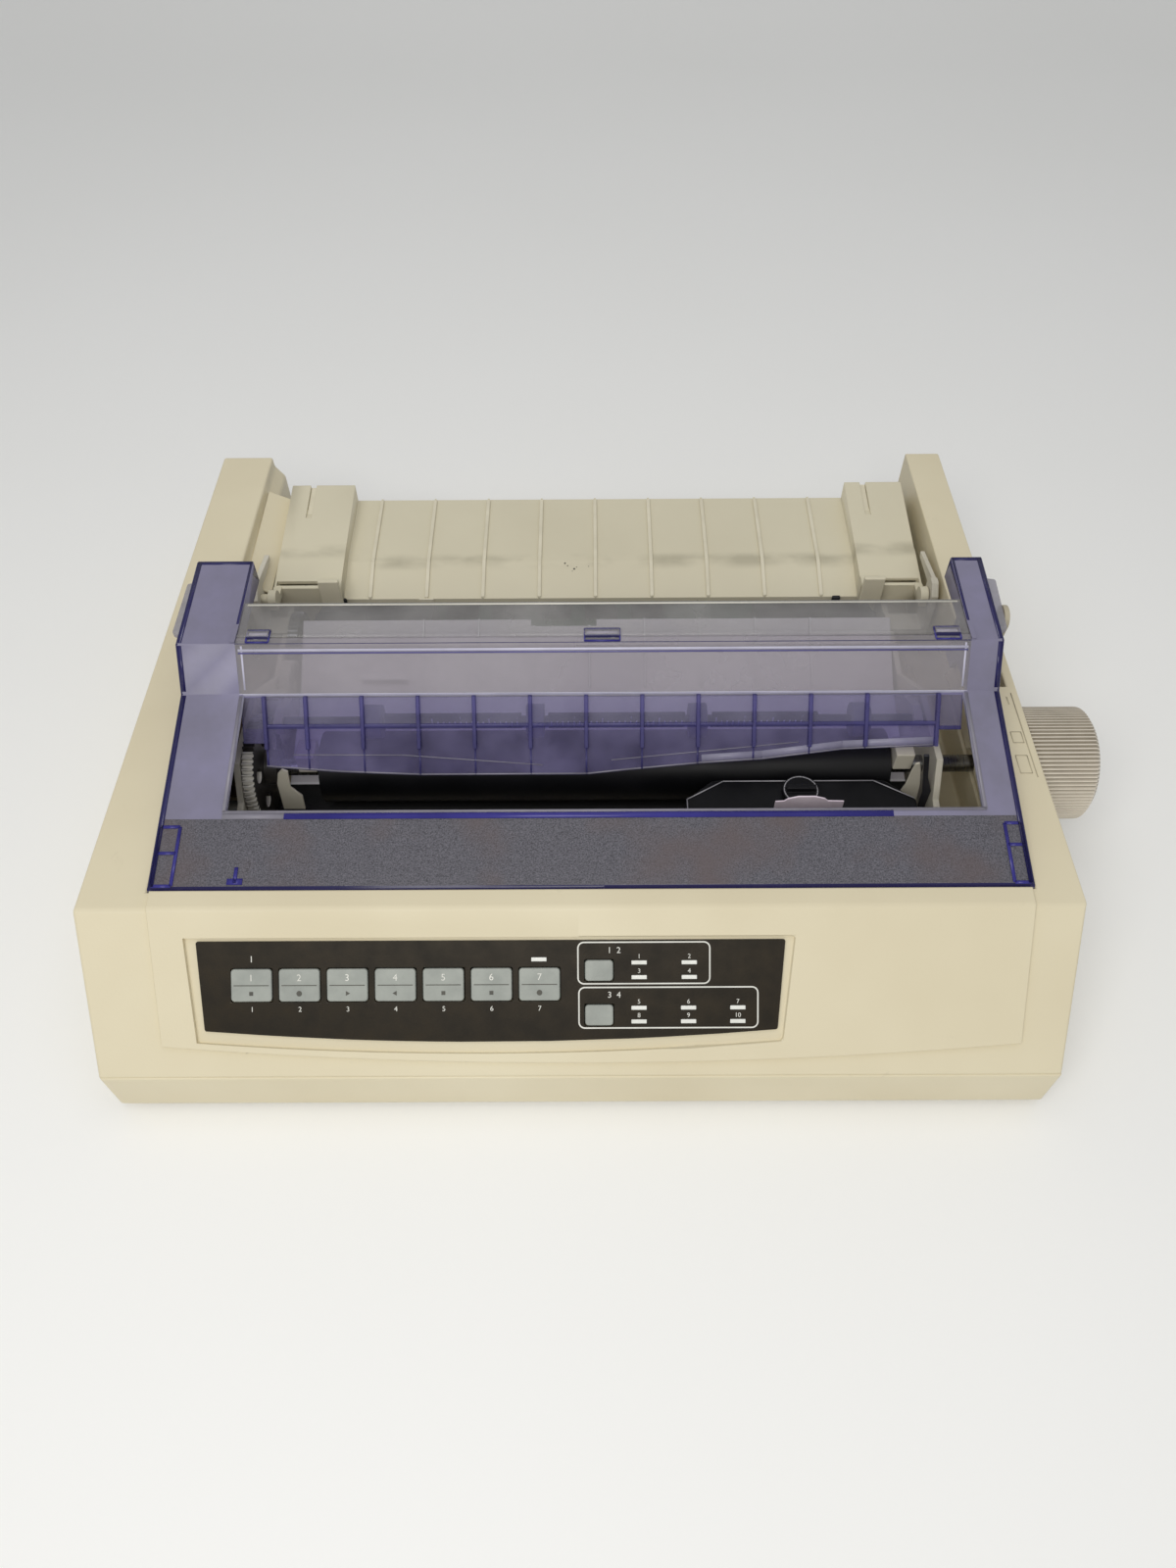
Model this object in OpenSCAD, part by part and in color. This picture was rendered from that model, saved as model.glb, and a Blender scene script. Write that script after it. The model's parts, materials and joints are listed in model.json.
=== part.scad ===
// Dot matrix printer with a hinged access cover, built up from separate pieces.
// Millimetres. Inside the modules X = 0 is the middle of the case, Y = 0 its front
// edge, Z = 0 the table. in_frame() moves every piece so that the origin is the
// middle of the whole footprint, knob included.

/* [Case] */
// Width of the case at deck level
case_w = 398; // [396:1:420]
// Depth of the case
case_d = 345; // [343:1:370]
// Height of the flat deck strips over the table
deck_h = 72; // [72:0.5:76]
// Height of the fold between upper and lower case
split_z = 28.5; // [27:0.5:29.5]
// Depth of the slanted front seen from above
front_run = 51.4; // [48:0.2:54]
// How far each side wall leans in from the deck to the fold
side_lean = 9; // [6:0.5:10]
// Width of the left deck strip
left_strip = 27.5; // [26.5:0.5:29]
// Width of the right deck strip
right_strip = 18.5; // [18:0.5:20]
// Wall of the moulded cases
wall = 3; // [2.4:0.1:3.2]
// Height of the rubber feet under the lower case
foot_h = 3; // [3:0.5:4]
// Radius of a rubber foot
foot_r = 9; // [7:0.5:11]

/* [Control panel] */
// How far the front panel stands proud of the slanted front
panel_proud = 1.8; // [1.4:0.1:2.2]
// Thickness of the dark overlay
overlay_t = 1; // [0.6:0.1:1.2]
// Width of a large button
button_w = 16; // [13:0.5:17]
// Height of a large button along the slope
button_h = 12.9; // [11:0.1:14]
// Distance between large buttons
button_pitch = 18.8; // [18:0.1:19.2]
// Gap round a button in its hole
button_gap = 0.35; // [0.3:0.05:0.5]
// How far a button travels
button_travel = 1.2; // [0.8:0.1:1.5]

/* [Access cover] */
// Run of the cover's slope seen from above
slope_run = 85.8; // [84:0.2:88]
// Rise of the cover's slope
slope_rise = 19.8; // [18:0.2:22]
// Run of the clear riser
riser_run = 12.7; // [11:0.1:14]
// Rise of the clear riser
riser_rise = 17.5; // [16:0.1:19]
// Run of the plateau on top
top_run = 48; // [46:0.5:50]
// Rise of the plateau towards the rear
top_rise = 3.9; // [3:0.1:5]
// Thickness of the tinted cover
cover_t = 2.4; // [2:0.1:2.6]
// Gap between the cover and the deck strips
cover_gap = 0.3; // [0.3:0.05:0.5]
// Length of the clear rear flap
flap_d = 18.5; // [16:0.5:24]

/* [Platen] */
// Radius of the rubber platen
platen_r = 16.5; // [16:0.1:17]
// Height of the platen's axis
platen_z = 43.5; // [43:0.1:44.5]
// Radius of the platen shaft
shaft_r = 4; // [3.5:0.1:4.2]
// Radius of the hand knob
knob_r = 26; // [20:0.5:27]
// Length of the hand knob
knob_len = 31; // [26:0.5:34]
// Gap between the case side at deck level and the knob
knob_gap = 1; // [1:0.1:3]

/* [Mechanism] */
// Thickness of the side frames
frame_t = 3; // [2.6:0.1:3.4]
// Radial clearance of shafts in their holes
fit = 0.05; // [0.03:0.01:0.08]
// Gear module
gear_m = 0.8; // [0.8:0.01:0.82]
// Radius of the carriage shaft
rail_r = 5; // [4.5:0.1:5.2]
// Width of the ribbon cartridge
ribbon_w = 100; // [92:1:104]
// Width of a tractor
tractor_w = 60; // [50:1:62]
// Width of the paper separator's left raised side
left_side_w = 34; // [32:1:36]
// Width of the paper separator's right raised side
right_side_w = 31; // [29:1:33]

/* [Hidden] */
$fn = 48;

// Case outline
hw = case_w / 2;
open_l = -hw + left_strip;
open_r = hw - right_strip;
low_hw = hw - side_lean;
slope_a = atan2(deck_h - split_z, front_run);
slope_len = norm([front_run, deck_h - split_z]);
floor_z = foot_h + 2.5;
foot_y = [45, case_d - 35];
opening_y = front_run + 8.1;
flange_t = 3;
flange_z = 45;
rear_sill_z = 40;

// Control panel, measured down the slope from the deck edge
panel_x0 = open_l + 1.2;
panel_x1 = open_r - 1.4;
panel_s = 54;
panel_bow = 7;
panel_taper = 6;
recess_x0 = panel_x0 + 15.3;
recess_x1 = recess_x0 + 239.4;
recess_s0 = 11;
recess_s1 = 52.5;
recess_bow = 4.5;
overlay_inset = 4.8;
button_x0 = recess_x0 + 26.6;
button_s = 29.7;
small_button_x = recess_x0 + 162.7;
small_button_w = 11;
small_button_h = 8.2;
small_button_s = [24.4, 42];
lens_w = 6;
lens_h = 1.6;
lens_at = concat([[139.2, 20]], [for (x = [178.4, 198], s = [21.4, 27.2]) [x, s]],
    [for (x = [178.3, 197.7, 217], s = [39.3, 44.7]) [x, s]]);
board_drop = 8;

// Access cover profile, from front to rear
cy0 = front_run + 8.4;
cy1 = cy0 + slope_run;
cy2 = cy1 + riser_run;
cy3 = cy2 + top_run;
cz0 = deck_h + 2;
cz1 = cz0 + slope_rise;
cz2 = cz1 + riser_rise;
cz3 = cz2 + top_rise;
cover_x0 = open_l + cover_gap;
cover_x1 = open_r - cover_gap;
cover_hem_z = deck_h - 6;
hinge_y = cy3 - 6.3;
hinge_z = deck_h - 10;
hinge_pin_r = 3;
tower_l = 25.5;
tower_r = 14.2;
window_x0 = cover_x0 + 27;
window_x1 = cover_x1 - 15.5;
window_y0 = cy0 + 32.4;
notch_y = cy2 + 3.2;
rod_r = 1.2;
rod_y = notch_y + 1.7;
rod_z = cz2 + (rod_y - cy2) * top_rise / top_run - 0.9;
top_a = atan2(top_rise, top_run);
knuckles = [[cover_x0 + tower_l + 4.5, 9.5], [2.5, 15], [cover_x1 - tower_r - 14.7, 10.5]];

// Mechanism, all from the platen axis and the side frames
platen_y = cy1 + 0.4;
fl_x = open_l + 17.5;
fr_x = open_r - 19.5 - frame_t;
mech_x0 = fl_x + frame_t;
mech_x1 = fr_x;
platen_x0 = mech_x0 + 33;
platen_x1 = mech_x1 - 18;
gear_x = mech_x0 + 0.8;
gear_w = 5;
rail_y = platen_y - 46;
rail_z = 26;
front_rail_y = platen_y - 88;
front_rail_z = 30;
belt_y = platen_y - 62;
belt_z = 28;
pulley_r = 6.4;
belt_x0 = mech_x0 + 18;
belt_x1 = mech_x1 - 9.5;
tractor_y = platen_y + 92;
tractor_z = 30;
support_y = tractor_y + 20;
support_z = tractor_z - 10;
bail_y = platen_y + 26;
bail_z = platen_z + 12.5;
bar_y = platen_y + 7;
bar_z = platen_z + 23.5;
bail_roller_r = norm([bar_y - platen_y, bar_z - platen_z]) - platen_r - 0.3;
bail_roller_w = 8;
bail_roller_x = [for (i = [-1.5:1.5]) (platen_x0 + platen_x1) / 2 + 5.5 + 73 * i];

// Gear train on the left frame
platen_teeth = 60;
idler_teeth = 32;
tractor_teeth = 44;
pinion_teeth = 20;
function pitch_r(n) = n * gear_m / 2;
function polar(c, r, a) = [c[0] + r * cos(a), c[1] + r * sin(a)];
mesh_gap = 0.12;
platen_c = [platen_y, platen_z];
tractor_c = [tractor_y, tractor_z];
idler1_a = -10;
idler1_c = polar(platen_c, pitch_r(platen_teeth + idler_teeth) + mesh_gap, idler1_a);
r12 = pitch_r(2 * idler_teeth) + mesh_gap;
r23 = pitch_r(idler_teeth + tractor_teeth) + mesh_gap;
d13 = norm(tractor_c - idler1_c);
a13 = atan2(tractor_c[1] - idler1_c[1], tractor_c[0] - idler1_c[0]);
bend = acos((r12 * r12 + d13 * d13 - r23 * r23) / (2 * r12 * d13));
idler2_c = polar(idler1_c, r12, a13 - bend);
pinion_a = 220;
pinion_c = polar(platen_c, pitch_r(platen_teeth + pinion_teeth) + mesh_gap, pinion_a);
function mesh_phase(a, phase, n0, n1) = a + 180 + 180 / n1 + (a - phase) * n0 / n1;
idler1_phase = mesh_phase(idler1_a, 0, platen_teeth, idler_teeth);
idler2_phase = mesh_phase(a13 - bend, idler1_phase, idler_teeth, idler_teeth);
rear_a = atan2(tractor_c[1] - idler2_c[1], tractor_c[0] - idler2_c[0]);
tractor_phase = mesh_phase(rear_a, idler2_phase, idler_teeth, tractor_teeth);
pinion_phase = mesh_phase(pinion_a, 0, platen_teeth, pinion_teeth);

// Paper chute, from under the platen to its rear edge
chute_r = platen_r + 2.5;
chute_t = 2;
chute_kink = [platen_y + 54, 38.2];
chute_edge = [platen_y + 85, 55.5];
chute_x0 = mech_x0 + 11;
chute_x1 = mech_x1 - 2;
chute_rib_pitch = (chute_x1 - chute_x0 - 101.4) / 7;
leg_z = platen_z - pitch_r(platen_teeth) - 5.5;

// Paper separator
sep_x0 = fl_x - 3;
sep_x1 = open_r - 6;
sep_pivot = [platen_y + 94, deck_h - 10];
sep_lip_y = sep_pivot[0] + 12;
sep_rear_y = case_d - 23;
sep_t = 2;
sep_front_z = deck_h - 21.5;
sep_rear_z = deck_h - 12.5;
side_front_y = sep_pivot[0] + 9.3;
side_front_z = deck_h - 11.5;
side_rear_z = deck_h - 2;
sep_crease = [sep_lip_y + 22, sep_front_z + 6.5];
post_pin_r = 2.5;
post_l_x = sep_x0 - 9;
post_r_x = sep_x1 + 0.5;
post_t = 5;
post_r_t = 3.4;
guide_w = 10.5;

// Carriage
carriage_x = open_r - 84.5;
carriage_w = 60;
ribbon_z = platen_z + 2.5;
ribbon_h = 14;
ribbon_y0 = platen_y - 74;
ribbon_y1 = platen_y - 19;
head_y1 = platen_y - platen_r - 1;

// Tractors and shafts
tractor_l_x = mech_x0 + 14;
tractor_r_x = mech_x1 - 6 - tractor_w;
lid_w = 26;
lid_y0 = chute_edge[0] + 1.5;
lid_y1 = lid_y0 + 11;
lid_z = tractor_z + 15.3;
lid_t = 3.4;
wheel_r = 13;
wheel_w = 8;

// Rear of the case
board_z = floor_z + 5.5;
board_x0 = mech_x0 + 63;
board_x1 = mech_x1 - 2;
board_y0 = platen_y + 59;
inlet_x = mech_x0 + 1;
inlet_w = 56;
inlet_h = 27;
plug_x = board_x0 + 108;
plug_w = 75;
coil_x0 = fl_x - 28;
coil_x1 = fl_x - 3;
coil_y0 = platen_y + 10;
coil_y1 = coil_y0 + 66;
coil_h = 34;

// Paper lever in the right strip
lever_x = hw - 12;
lever_y = hinge_y - 14;
lever_z = deck_h - 20;
boss_x = [panel_x0 + 5, panel_x1 - 5];
boss_y = 24;
rear_boss_y = case_d - 13;
boss_r = 4.5;

module in_frame() {
    translate([-(knob_gap + knob_len) / 2, -case_d / 2, 0]) children();
}

// Extrudes a drawing of [y, z] points from x0 to x1
module along_x(x0, x1) {
    translate([x0, 0, 0]) rotate([90, 0, 90]) linear_extrude(x1 - x0) children();
}

// Extrudes a drawing of [x, z] points from y0 to y1
module along_y(y0, y1) {
    translate([0, y1, 0]) rotate([90, 0, 0]) linear_extrude(y1 - y0) children();
}

// A box from one corner to the other
module block(a, b) {
    translate(a) cube(b - a);
}

// A rod along X at [y, z]
module rod_x(x0, x1, c, r) {
    translate([x0, c[0], c[1]]) rotate([0, 90, 0]) cylinder(r = r, h = x1 - x0);
}

// A rod along Z
module rod_z_at(x, y, z0, z1, r) {
    translate([x, y, z0]) cylinder(r = r, h = z1 - z0);
}

// Slanted front: y runs up the slope from the deck edge, z stands out of it
module on_slope() {
    translate([0, front_run, deck_h]) rotate([slope_a, 0, 0]) children();
}

// Spur gear drawing round the origin with its first tooth at the phase angle
module gear_outline(n, phase) {
    r = pitch_r(n);
    tooth = gear_m * 1.32;
    flank = tan(20);
    tip = tooth - 2 * gear_m * 0.9 * flank;
    root = tooth + 2 * gear_m * 1.15 * flank;
    rotate(phase) union() {
        circle(r - gear_m * 1.1, $fn = 4 * n);
        for (i = [0:n - 1]) rotate(i * 360 / n) polygon([[r - gear_m * 1.3, -root / 2],
            [r + gear_m * 0.9, -tip / 2], [r + gear_m * 0.9, tip / 2], [r - gear_m * 1.3, root / 2]]);
    }
}

module gear(x0, w, c, n, phase, bore) {
    difference() {
        translate([0, c[0], c[1]]) along_x(x0, x0 + w) gear_outline(n, phase);
        rod_x(x0 - 1, x0 + w + 1, c, bore);
    }
}

// Outer form of the upper case, moved in by t on every side
module upper_prism(t, z0) {
    a = slope_a;
    front = function(z) (z - split_z) / tan(a) + t / sin(a);
    span = deck_h - split_z;
    lean = function(z) low_hw - t + side_lean * (z - split_z) / span;
    intersection() {
        along_x(-hw - 1, hw + 1) polygon([[front(z0), z0], [front(deck_h - t), deck_h - t],
            [case_d - t, deck_h - t], [case_d - t, z0]]);
        along_y(-20, case_d + 20) polygon([[-lean(z0), z0], [-lean(deck_h), deck_h],
            [lean(deck_h), deck_h], [lean(z0), z0]]);
    }
}

// Outline on the slanted front with a bowed lower edge
module bowed(x0, x1, s0, s1, bow, taper) {
    steps = 20;
    low0 = x0 + taper;
    low1 = x1 - taper;
    polygon(concat([[x1, -s0], [x0, -s0]], [for (i = [0:steps]) let(u = 2 * i / steps - 1)
        [low0 + (low1 - low0) * i / steps, -s1 - bow * (1 - u * u)]]));
}

module button_hole(x, s, w, h, gap, z0, z1) {
    translate([x - w / 2 - gap, -s - h / 2 - gap, z0]) cube([w + 2 * gap, h + 2 * gap, z1 - z0]);
}

module button_holes(gap, z0, z1) {
    for (i = [0:6]) button_hole(button_x0 + i * button_pitch, button_s, button_w, button_h,
        gap, z0, z1);
    for (s = small_button_s) button_hole(small_button_x, s, small_button_w, small_button_h,
        gap, z0, z1);
}

module lens_blocks(gap, z0, z1) {
    for (p = lens_at) translate([recess_x0 + p[0] - 3 - gap, -p[1] - lens_h / 2 - gap, z0])
        cube([lens_w + 2 * gap, lens_h + 2 * gap, z1 - z0]);
}

module raised_panel() {
    intersection() {
        along_x(panel_x0 - 1, panel_x1 + 1) polygon([
            [0, split_z - 1], [front_run, deck_h - 1], [opening_y, deck_h - 1],
            [opening_y, deck_h + panel_proud],
            [front_run - panel_proud * tan(slope_a / 2), deck_h + panel_proud],
            [-panel_proud * sin(slope_a), split_z + panel_proud * cos(slope_a)]]);
        on_slope() translate([0, 0, -8]) linear_extrude(16)
            bowed(panel_x0, panel_x1, -10, panel_s, panel_bow, panel_taper);
    }
}

module upper_case() color("#d9cfb0") difference() {
    union() {
        difference() {
            upper_prism(0, split_z);
            upper_prism(wall, split_z - 1);
            block([open_l, opening_y, deck_h - 10], [open_r, case_d + 1, deck_h + 1]);
            block([open_l, case_d - wall - 1, split_z - 1], [open_r, case_d + 1, deck_h + 1]);
        }
        raised_panel();
        // Inner walls of the two strips
        for (x = [open_l - flange_t, open_r])
            block([x, opening_y - 2, flange_z], [x + flange_t, case_d, deck_h]);
        // Step inside the left tower
        along_y(tractor_y + 12, case_d) polygon([[open_l - 1, flange_z], [open_l + 4.5, flange_z],
            [open_l + 4.5, deck_h - 12], [open_l - 1, deck_h - 4]]);
        // Lip under the cover's front edge
        block([open_l - 1, opening_y - 3, deck_h - 9], [open_r + 1, opening_y, deck_h - 1]);
        // Screw bosses
        intersection() {
            upper_prism(1, floor_z);
            for (x = boss_x) rod_z_at(x, boss_y, floor_z + 4, deck_h, boss_r);
        }
        for (x = [open_l + 4, open_r - 4])
            rod_z_at(x, rear_boss_y, floor_z + 4, flange_z + 4, boss_r);
        // Pin that carries the paper lever
        rod_x(open_r + flange_t - 1, lever_x + 3.2, [lever_y, lever_z], 3);
    }
    // Recess of the overlay with its button and lens holes
    on_slope() {
        linear_extrude(panel_proud + 3)
            bowed(recess_x0, recess_x1, recess_s0, recess_s1, recess_bow, overlay_inset);
        button_holes(button_gap, -wall - 1, 1);
        lens_blocks(0.2, -wall - 1, 1);
    }
    for (x = boss_x) rod_z_at(x, boss_y, floor_z, split_z + 6, 1.6);
    for (x = [open_l + 4, open_r - 4]) rod_z_at(x, rear_boss_y, floor_z, split_z + 6, 1.6);
    // Cover hinge holes
    for (x = [open_l - flange_t - 1, open_r - 1])
        rod_x(x, x + flange_t + 2, [hinge_y, hinge_z], hinge_pin_r + fit);
    // Way of the platen shaft
    rod_x(open_r - 1, hw + 1, platen_c, shaft_r + 3);
    // Slot of the paper lever
    block([lever_x - 1, lever_y - 17.8, deck_h - wall - 1], [lever_x + 7.6, lever_y + 5, deck_h + 1]);
}

module lower_case() color("#cfc5a5") difference() {
    union() {
        difference() {
            block([-low_hw, 0, foot_h], [low_hw, case_d, split_z]);
            block([-low_hw + wall, wall, floor_z], [low_hw - wall, case_d - wall, split_z + 1]);
        }
        // Rear sill between the towers
        block([open_l + 0.3, case_d - wall, split_z - 1], [open_r - 0.3, case_d, rear_sill_z]);
        // Lips that line up the upper case
        for (s = [-1, 1]) translate([s * (low_hw - wall - 1), 0, 0])
            block([-1, 30, split_z - 8], [1, case_d - 30, split_z + 2.5]);
        for (x = [board_x0 + 8, board_x1 - 8], y = [board_y0 + 8, case_d - 18])
            rod_z_at(x, y, floor_z - 1, board_z, 4);
        for (x = boss_x) rod_z_at(x, boss_y, floor_z - 1, floor_z + 3.9, boss_r);
        for (x = [open_l + 4, open_r - 4])
            rod_z_at(x, rear_boss_y, floor_z - 1, floor_z + 3.9, boss_r);
        // Seats of the transformer
        for (y = [coil_y0 + 5, coil_y1 - 13])
            block([coil_x0 + 2, y, floor_z - 0.5], [coil_x1 - 2, y + 8, floor_z + 1.5]);
    }
    for (x = boss_x) screw_way(x, boss_y);
    for (x = [open_l + 4, open_r - 4]) screw_way(x, rear_boss_y);
    for (x = [-1, 1], y = foot_y)
        rod_z_at(x * (low_hw - 28), y, foot_h - 1, floor_z + 1, 3 + fit);
    // Vents under the mechanism
    for (i = [-6:6]) block([i * 18 - 3, platen_y - 30, foot_h - 1], [i * 18 + 3, platen_y + 20, floor_z + 1]);
    block([inlet_x - 0.2, case_d - wall - 1, floor_z + 2.8],
        [inlet_x + inlet_w + 0.2, case_d + 1, floor_z + 3.2 + inlet_h]);
    block([plug_x - 0.2, case_d - wall - 1, board_z + 1.4],
        [plug_x + plug_w + 0.2, case_d + 1, board_z + 22.2]);
}

module screw_way(x, y) {
    rod_z_at(x, y, foot_h - 1, foot_h + 3, 3.6);
    rod_z_at(x, y, foot_h, floor_z + 5, 1.8);
}

module rubber_feet() color("#2b2b2b") for (x = [-1, 1], y = foot_y) {
    rod_z_at(x * (low_hw - 28), y, 0, foot_h, foot_r);
    rod_z_at(x * (low_hw - 28), y, foot_h - 0.5, floor_z + 0.5, 3);
}

module case_screws() color("#8c8c90") {
    for (x = boss_x) case_screw(x, boss_y);
    for (x = [open_l + 4, open_r - 4]) case_screw(x, rear_boss_y);
}

module case_screw(x, y) difference() {
    union() {
        rod_z_at(x, y, foot_h + 0.8, foot_h + 3, 3.3);
        rod_z_at(x, y, foot_h + 2.9, split_z + 4, 1.56);
    }
    for (a = [0, 90]) translate([x, y, foot_h]) rotate(a) translate([-2, -0.4, 0]) cube([4, 0.8, 2]);
}

module control_overlay() color("#2a2418") difference() {
    on_slope() linear_extrude(overlay_t) bowed(recess_x0 + overlay_inset,
        recess_x1 - overlay_inset + 1, recess_s0 + 1.5, recess_s1 - 4.5, recess_bow, 3);
    on_slope() {
        button_holes(button_gap, -1, overlay_t + 1);
        lens_blocks(0.1, -1, overlay_t + 1);
    }
}

module indicator_lenses() color("#e8e8dc") on_slope() lens_blocks(0, -wall - 1, overlay_t + 0.2);

module control_board() color("#2e6b46") on_slope() {
    z = -wall - board_drop;
    block([recess_x0 + 5, -recess_s1, z], [recess_x1 - 4.4, -recess_s0 + 0.5, z + 1.6]);
    for (x = [recess_x0 + 8, recess_x1 - 8.4]) translate([x, -31, z + 1.5])
        cylinder(r = 3, h = board_drop - 1.5, $fn = 32);
}

// Button cap with its stem, at x and s on the slope
module button(x, s, w, h) {
    low = -wall - board_drop + 1.6 + button_travel + 0.5;
    top = overlay_t + 0.9;
    crown = 0.5;
    on_slope() {
        button_hole(x, s, w, h, 0, -wall + 0.5, top - crown);
        button_hole(x, s, w - 1, h - 1, 0, top - crown, top);
        translate([x, -s, low]) cylinder(r = 2.2, h = -low - 1, $fn = 32);
    }
}

module big_button(i) color("#9ea29b")
    button(button_x0 + (i - 1) * button_pitch, button_s, button_w, button_h);

module small_button(i) color("#9ea29b")
    button(small_button_x, small_button_s[i], small_button_w, small_button_h);

module button_1() big_button(1);
module button_2() big_button(2);
module button_3() big_button(3);
module button_4() big_button(4);
module button_5() big_button(5);
module button_6() big_button(6);
module button_7() big_button(7);
module button_8() small_button(0);
module button_9() small_button(1);

// Side profile of the cover's skin, t thick
module cover_profile(t) {
    polygon([[cy0, cz0 - 1.5], [cy0 + 1, cz0], [cy1, cz1], [cy2, cz2], [cy3, cz3],
        [cy3, cz3 - t], [cy2 + 0.6 * t, cz2 - t], [cy1 + 0.55 * t, cz1 - t], [cy0 + t, cz0 - t],
        [cy0 + t, cover_hem_z], [cy0, cover_hem_z]]);
}

module cover_side() {
    polygon([[cy0, cover_hem_z], [cy0, cz0 - 1.5], [cy0 + 1, cz0], [cy1, cz1], [cy2, cz2],
        [cy3, cz3], [cy3, cover_hem_z], [cy3, hinge_z - 5], [hinge_y - 6, hinge_z - 5],
        [hinge_y - 10, cover_hem_z]]);
}

module cover_rod(r, x0, x1) {
    rod_x(x0, x1, [rod_y, rod_z], r);
}

module access_cover() color("#6c6791", 0.6) difference() {
    union() {
        difference() {
            along_x(cover_x0, cover_x1) cover_profile(cover_t);
            block([window_x0, window_y0, cz0], [window_x1, cy1 - 0.1, cz1 + 1]);
            block([cover_x0 + tower_l, notch_y, cz1], [cover_x1 - tower_r, cy3 + 1, cz3 + 1]);
        }
        along_x(cover_x0, cover_x0 + 2.2) cover_side();
        along_x(cover_x1 - 2.2, cover_x1) cover_side();
        // Rims round the towers
        for (x = [cover_x0 + tower_l - 2, cover_x1 - tower_r])
            block([x, notch_y - 3, cz3 - 11], [x + 2, cy3, cz2 + 1]);
        block([cover_x0, cy3 - 2, cz3 - 11], [cover_x0 + tower_l, cy3, cz3 - 1]);
        block([cover_x1 - tower_r, cy3 - 2, cz3 - 11], [cover_x1, cy3, cz3 - 1]);
        // Rim under the front of the notch
        block([cover_x0 + tower_l - 1, notch_y - 2, cz2 - 7],
            [cover_x1 - tower_r + 1, notch_y, cz2 - 1]);
        // Barrels of the rear flap
        for (k = knuckles) {
            cover_rod(2.6, k[0], k[0] + k[1]);
            block([k[0], notch_y - 1, rod_z - 2.6], [k[0] + k[1], rod_y, rod_z]);
        }
        // Trunnions of the cover hinge
        rod_x(cover_x0 - 3, cover_x0 + 2, [hinge_y, hinge_z], hinge_pin_r);
        rod_x(cover_x1 - 2, cover_x1 + 3, [hinge_y, hinge_z], hinge_pin_r);
        // Stiffening ribs inside the front corners
        for (x = [cover_x0 + 8, cover_x1 - 10])
            block([x, cy0 + 1, cz0 - 5], [x + 2, cy0 + 26, cz0 - 1]);
        for (x = [cover_x0 + 1, cover_x1 - 9], y = [cy0 + 13, cy0 + 25])
            block([x, y, cz0 - 4], [x + 8, y + 1.6, cz0 + 1.5]);
        // Rib under the window
        block([window_x0 + 24, window_y0 - 2.2, cz0 + 1], [window_x1 - 21, window_y0, cz0 + 6.4]);
    }
    for (k = knuckles) cover_rod(rod_r + fit, k[0] - 1, k[0] + k[1] + 1);
}

// Tear guard plane: y runs up the plate from its top edge, z stands out forwards
guard_a = atan2(28, 24);
module on_guard() {
    translate([0, cy1 + 1.2, cz1 - 1.2]) rotate([guard_a, 0, 0]) children();
}

module tear_guard() color("#5a5590", 0.7) on_guard() {
    x0 = cover_x0 + 35;
    x1 = cover_x1 - 25.4;
    span = x1 - x0;
    // Lower edge of the plate, as [share of the width, length]
    edge = [[0, 32], [0.11, 34.5], [0.23, 36], [0.48, 36], [0.54, 34.2], [0.65, 31.4],
        [0.74, 29.8], [0.86, 25.6], [1, 24]];
    translate([0, 0, -1]) linear_extrude(2) union() {
        polygon(concat([[x1, 0], [x0, 0]], [for (e = edge) [x0 + span * e[0], -e[1]]]));
        translate([x0 - 9.5, -21.6]) square([9.6, 21.6]);
        translate([x1 - 0.1, -17]) square([10.2, 17]);
    }
    for (i = [0:12]) translate([x0 + 0.8 + (span - 1.6) * i / 12 - 0.8, -24, 0.9])
        cube([1.6, 23, 2.2]);
    translate([x0, -14.5, 0.9]) cube([span, 1.4, 1.4]);
}

module cover_grips() color("#d8d6ea", 0.5) {
    grip(cover_x0, -1, 7, 7.3);
    grip(cover_x1, 1, 6.9, 9);
}

// Finger tab on a cover side, a wide in front and b wide behind
module grip(x, s, a, b) {
    y0 = hinge_y - 28;
    translate([0, 0, cz3 - 15]) linear_extrude(4)
        polygon([[x, y0], [x + s * a, y0 + 1], [x + s * b, cy3 - 1.5], [x, cy3]]);
}

module rear_flap() color("#d2d0dc", 0.4) {
    x0 = cover_x0 + tower_l + 0.3;
    x1 = cover_x1 - tower_r - 0.3;
    cover_rod(rod_r, x0, x1);
    difference() {
        translate([x0, rod_y, rod_z]) rotate([top_a, 0, 0]) translate([0, 0, -0.8])
            cube([x1 - x0, flap_d, 1.6]);
        for (k = knuckles)
            block([k[0] - 0.4, rod_y - 3, rod_z - 4], [k[0] + k[1] + 0.4, rod_y + 3.2, rod_z + 4]);
    }
    for (k = knuckles) cover_rod(rod_r, max(x0, k[0] - 1), min(x1, k[0] + k[1] + 1));
}

// Top of the separator's centre plate as [y, z] points
sep_top = [[sep_lip_y, sep_front_z], sep_crease, [sep_rear_y, sep_rear_z]];

module sep_band(points, t) {
    n = len(points);
    polygon(concat(points, [for (i = [n - 1:-1:0]) points[i] - [0, t]]));
}

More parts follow.
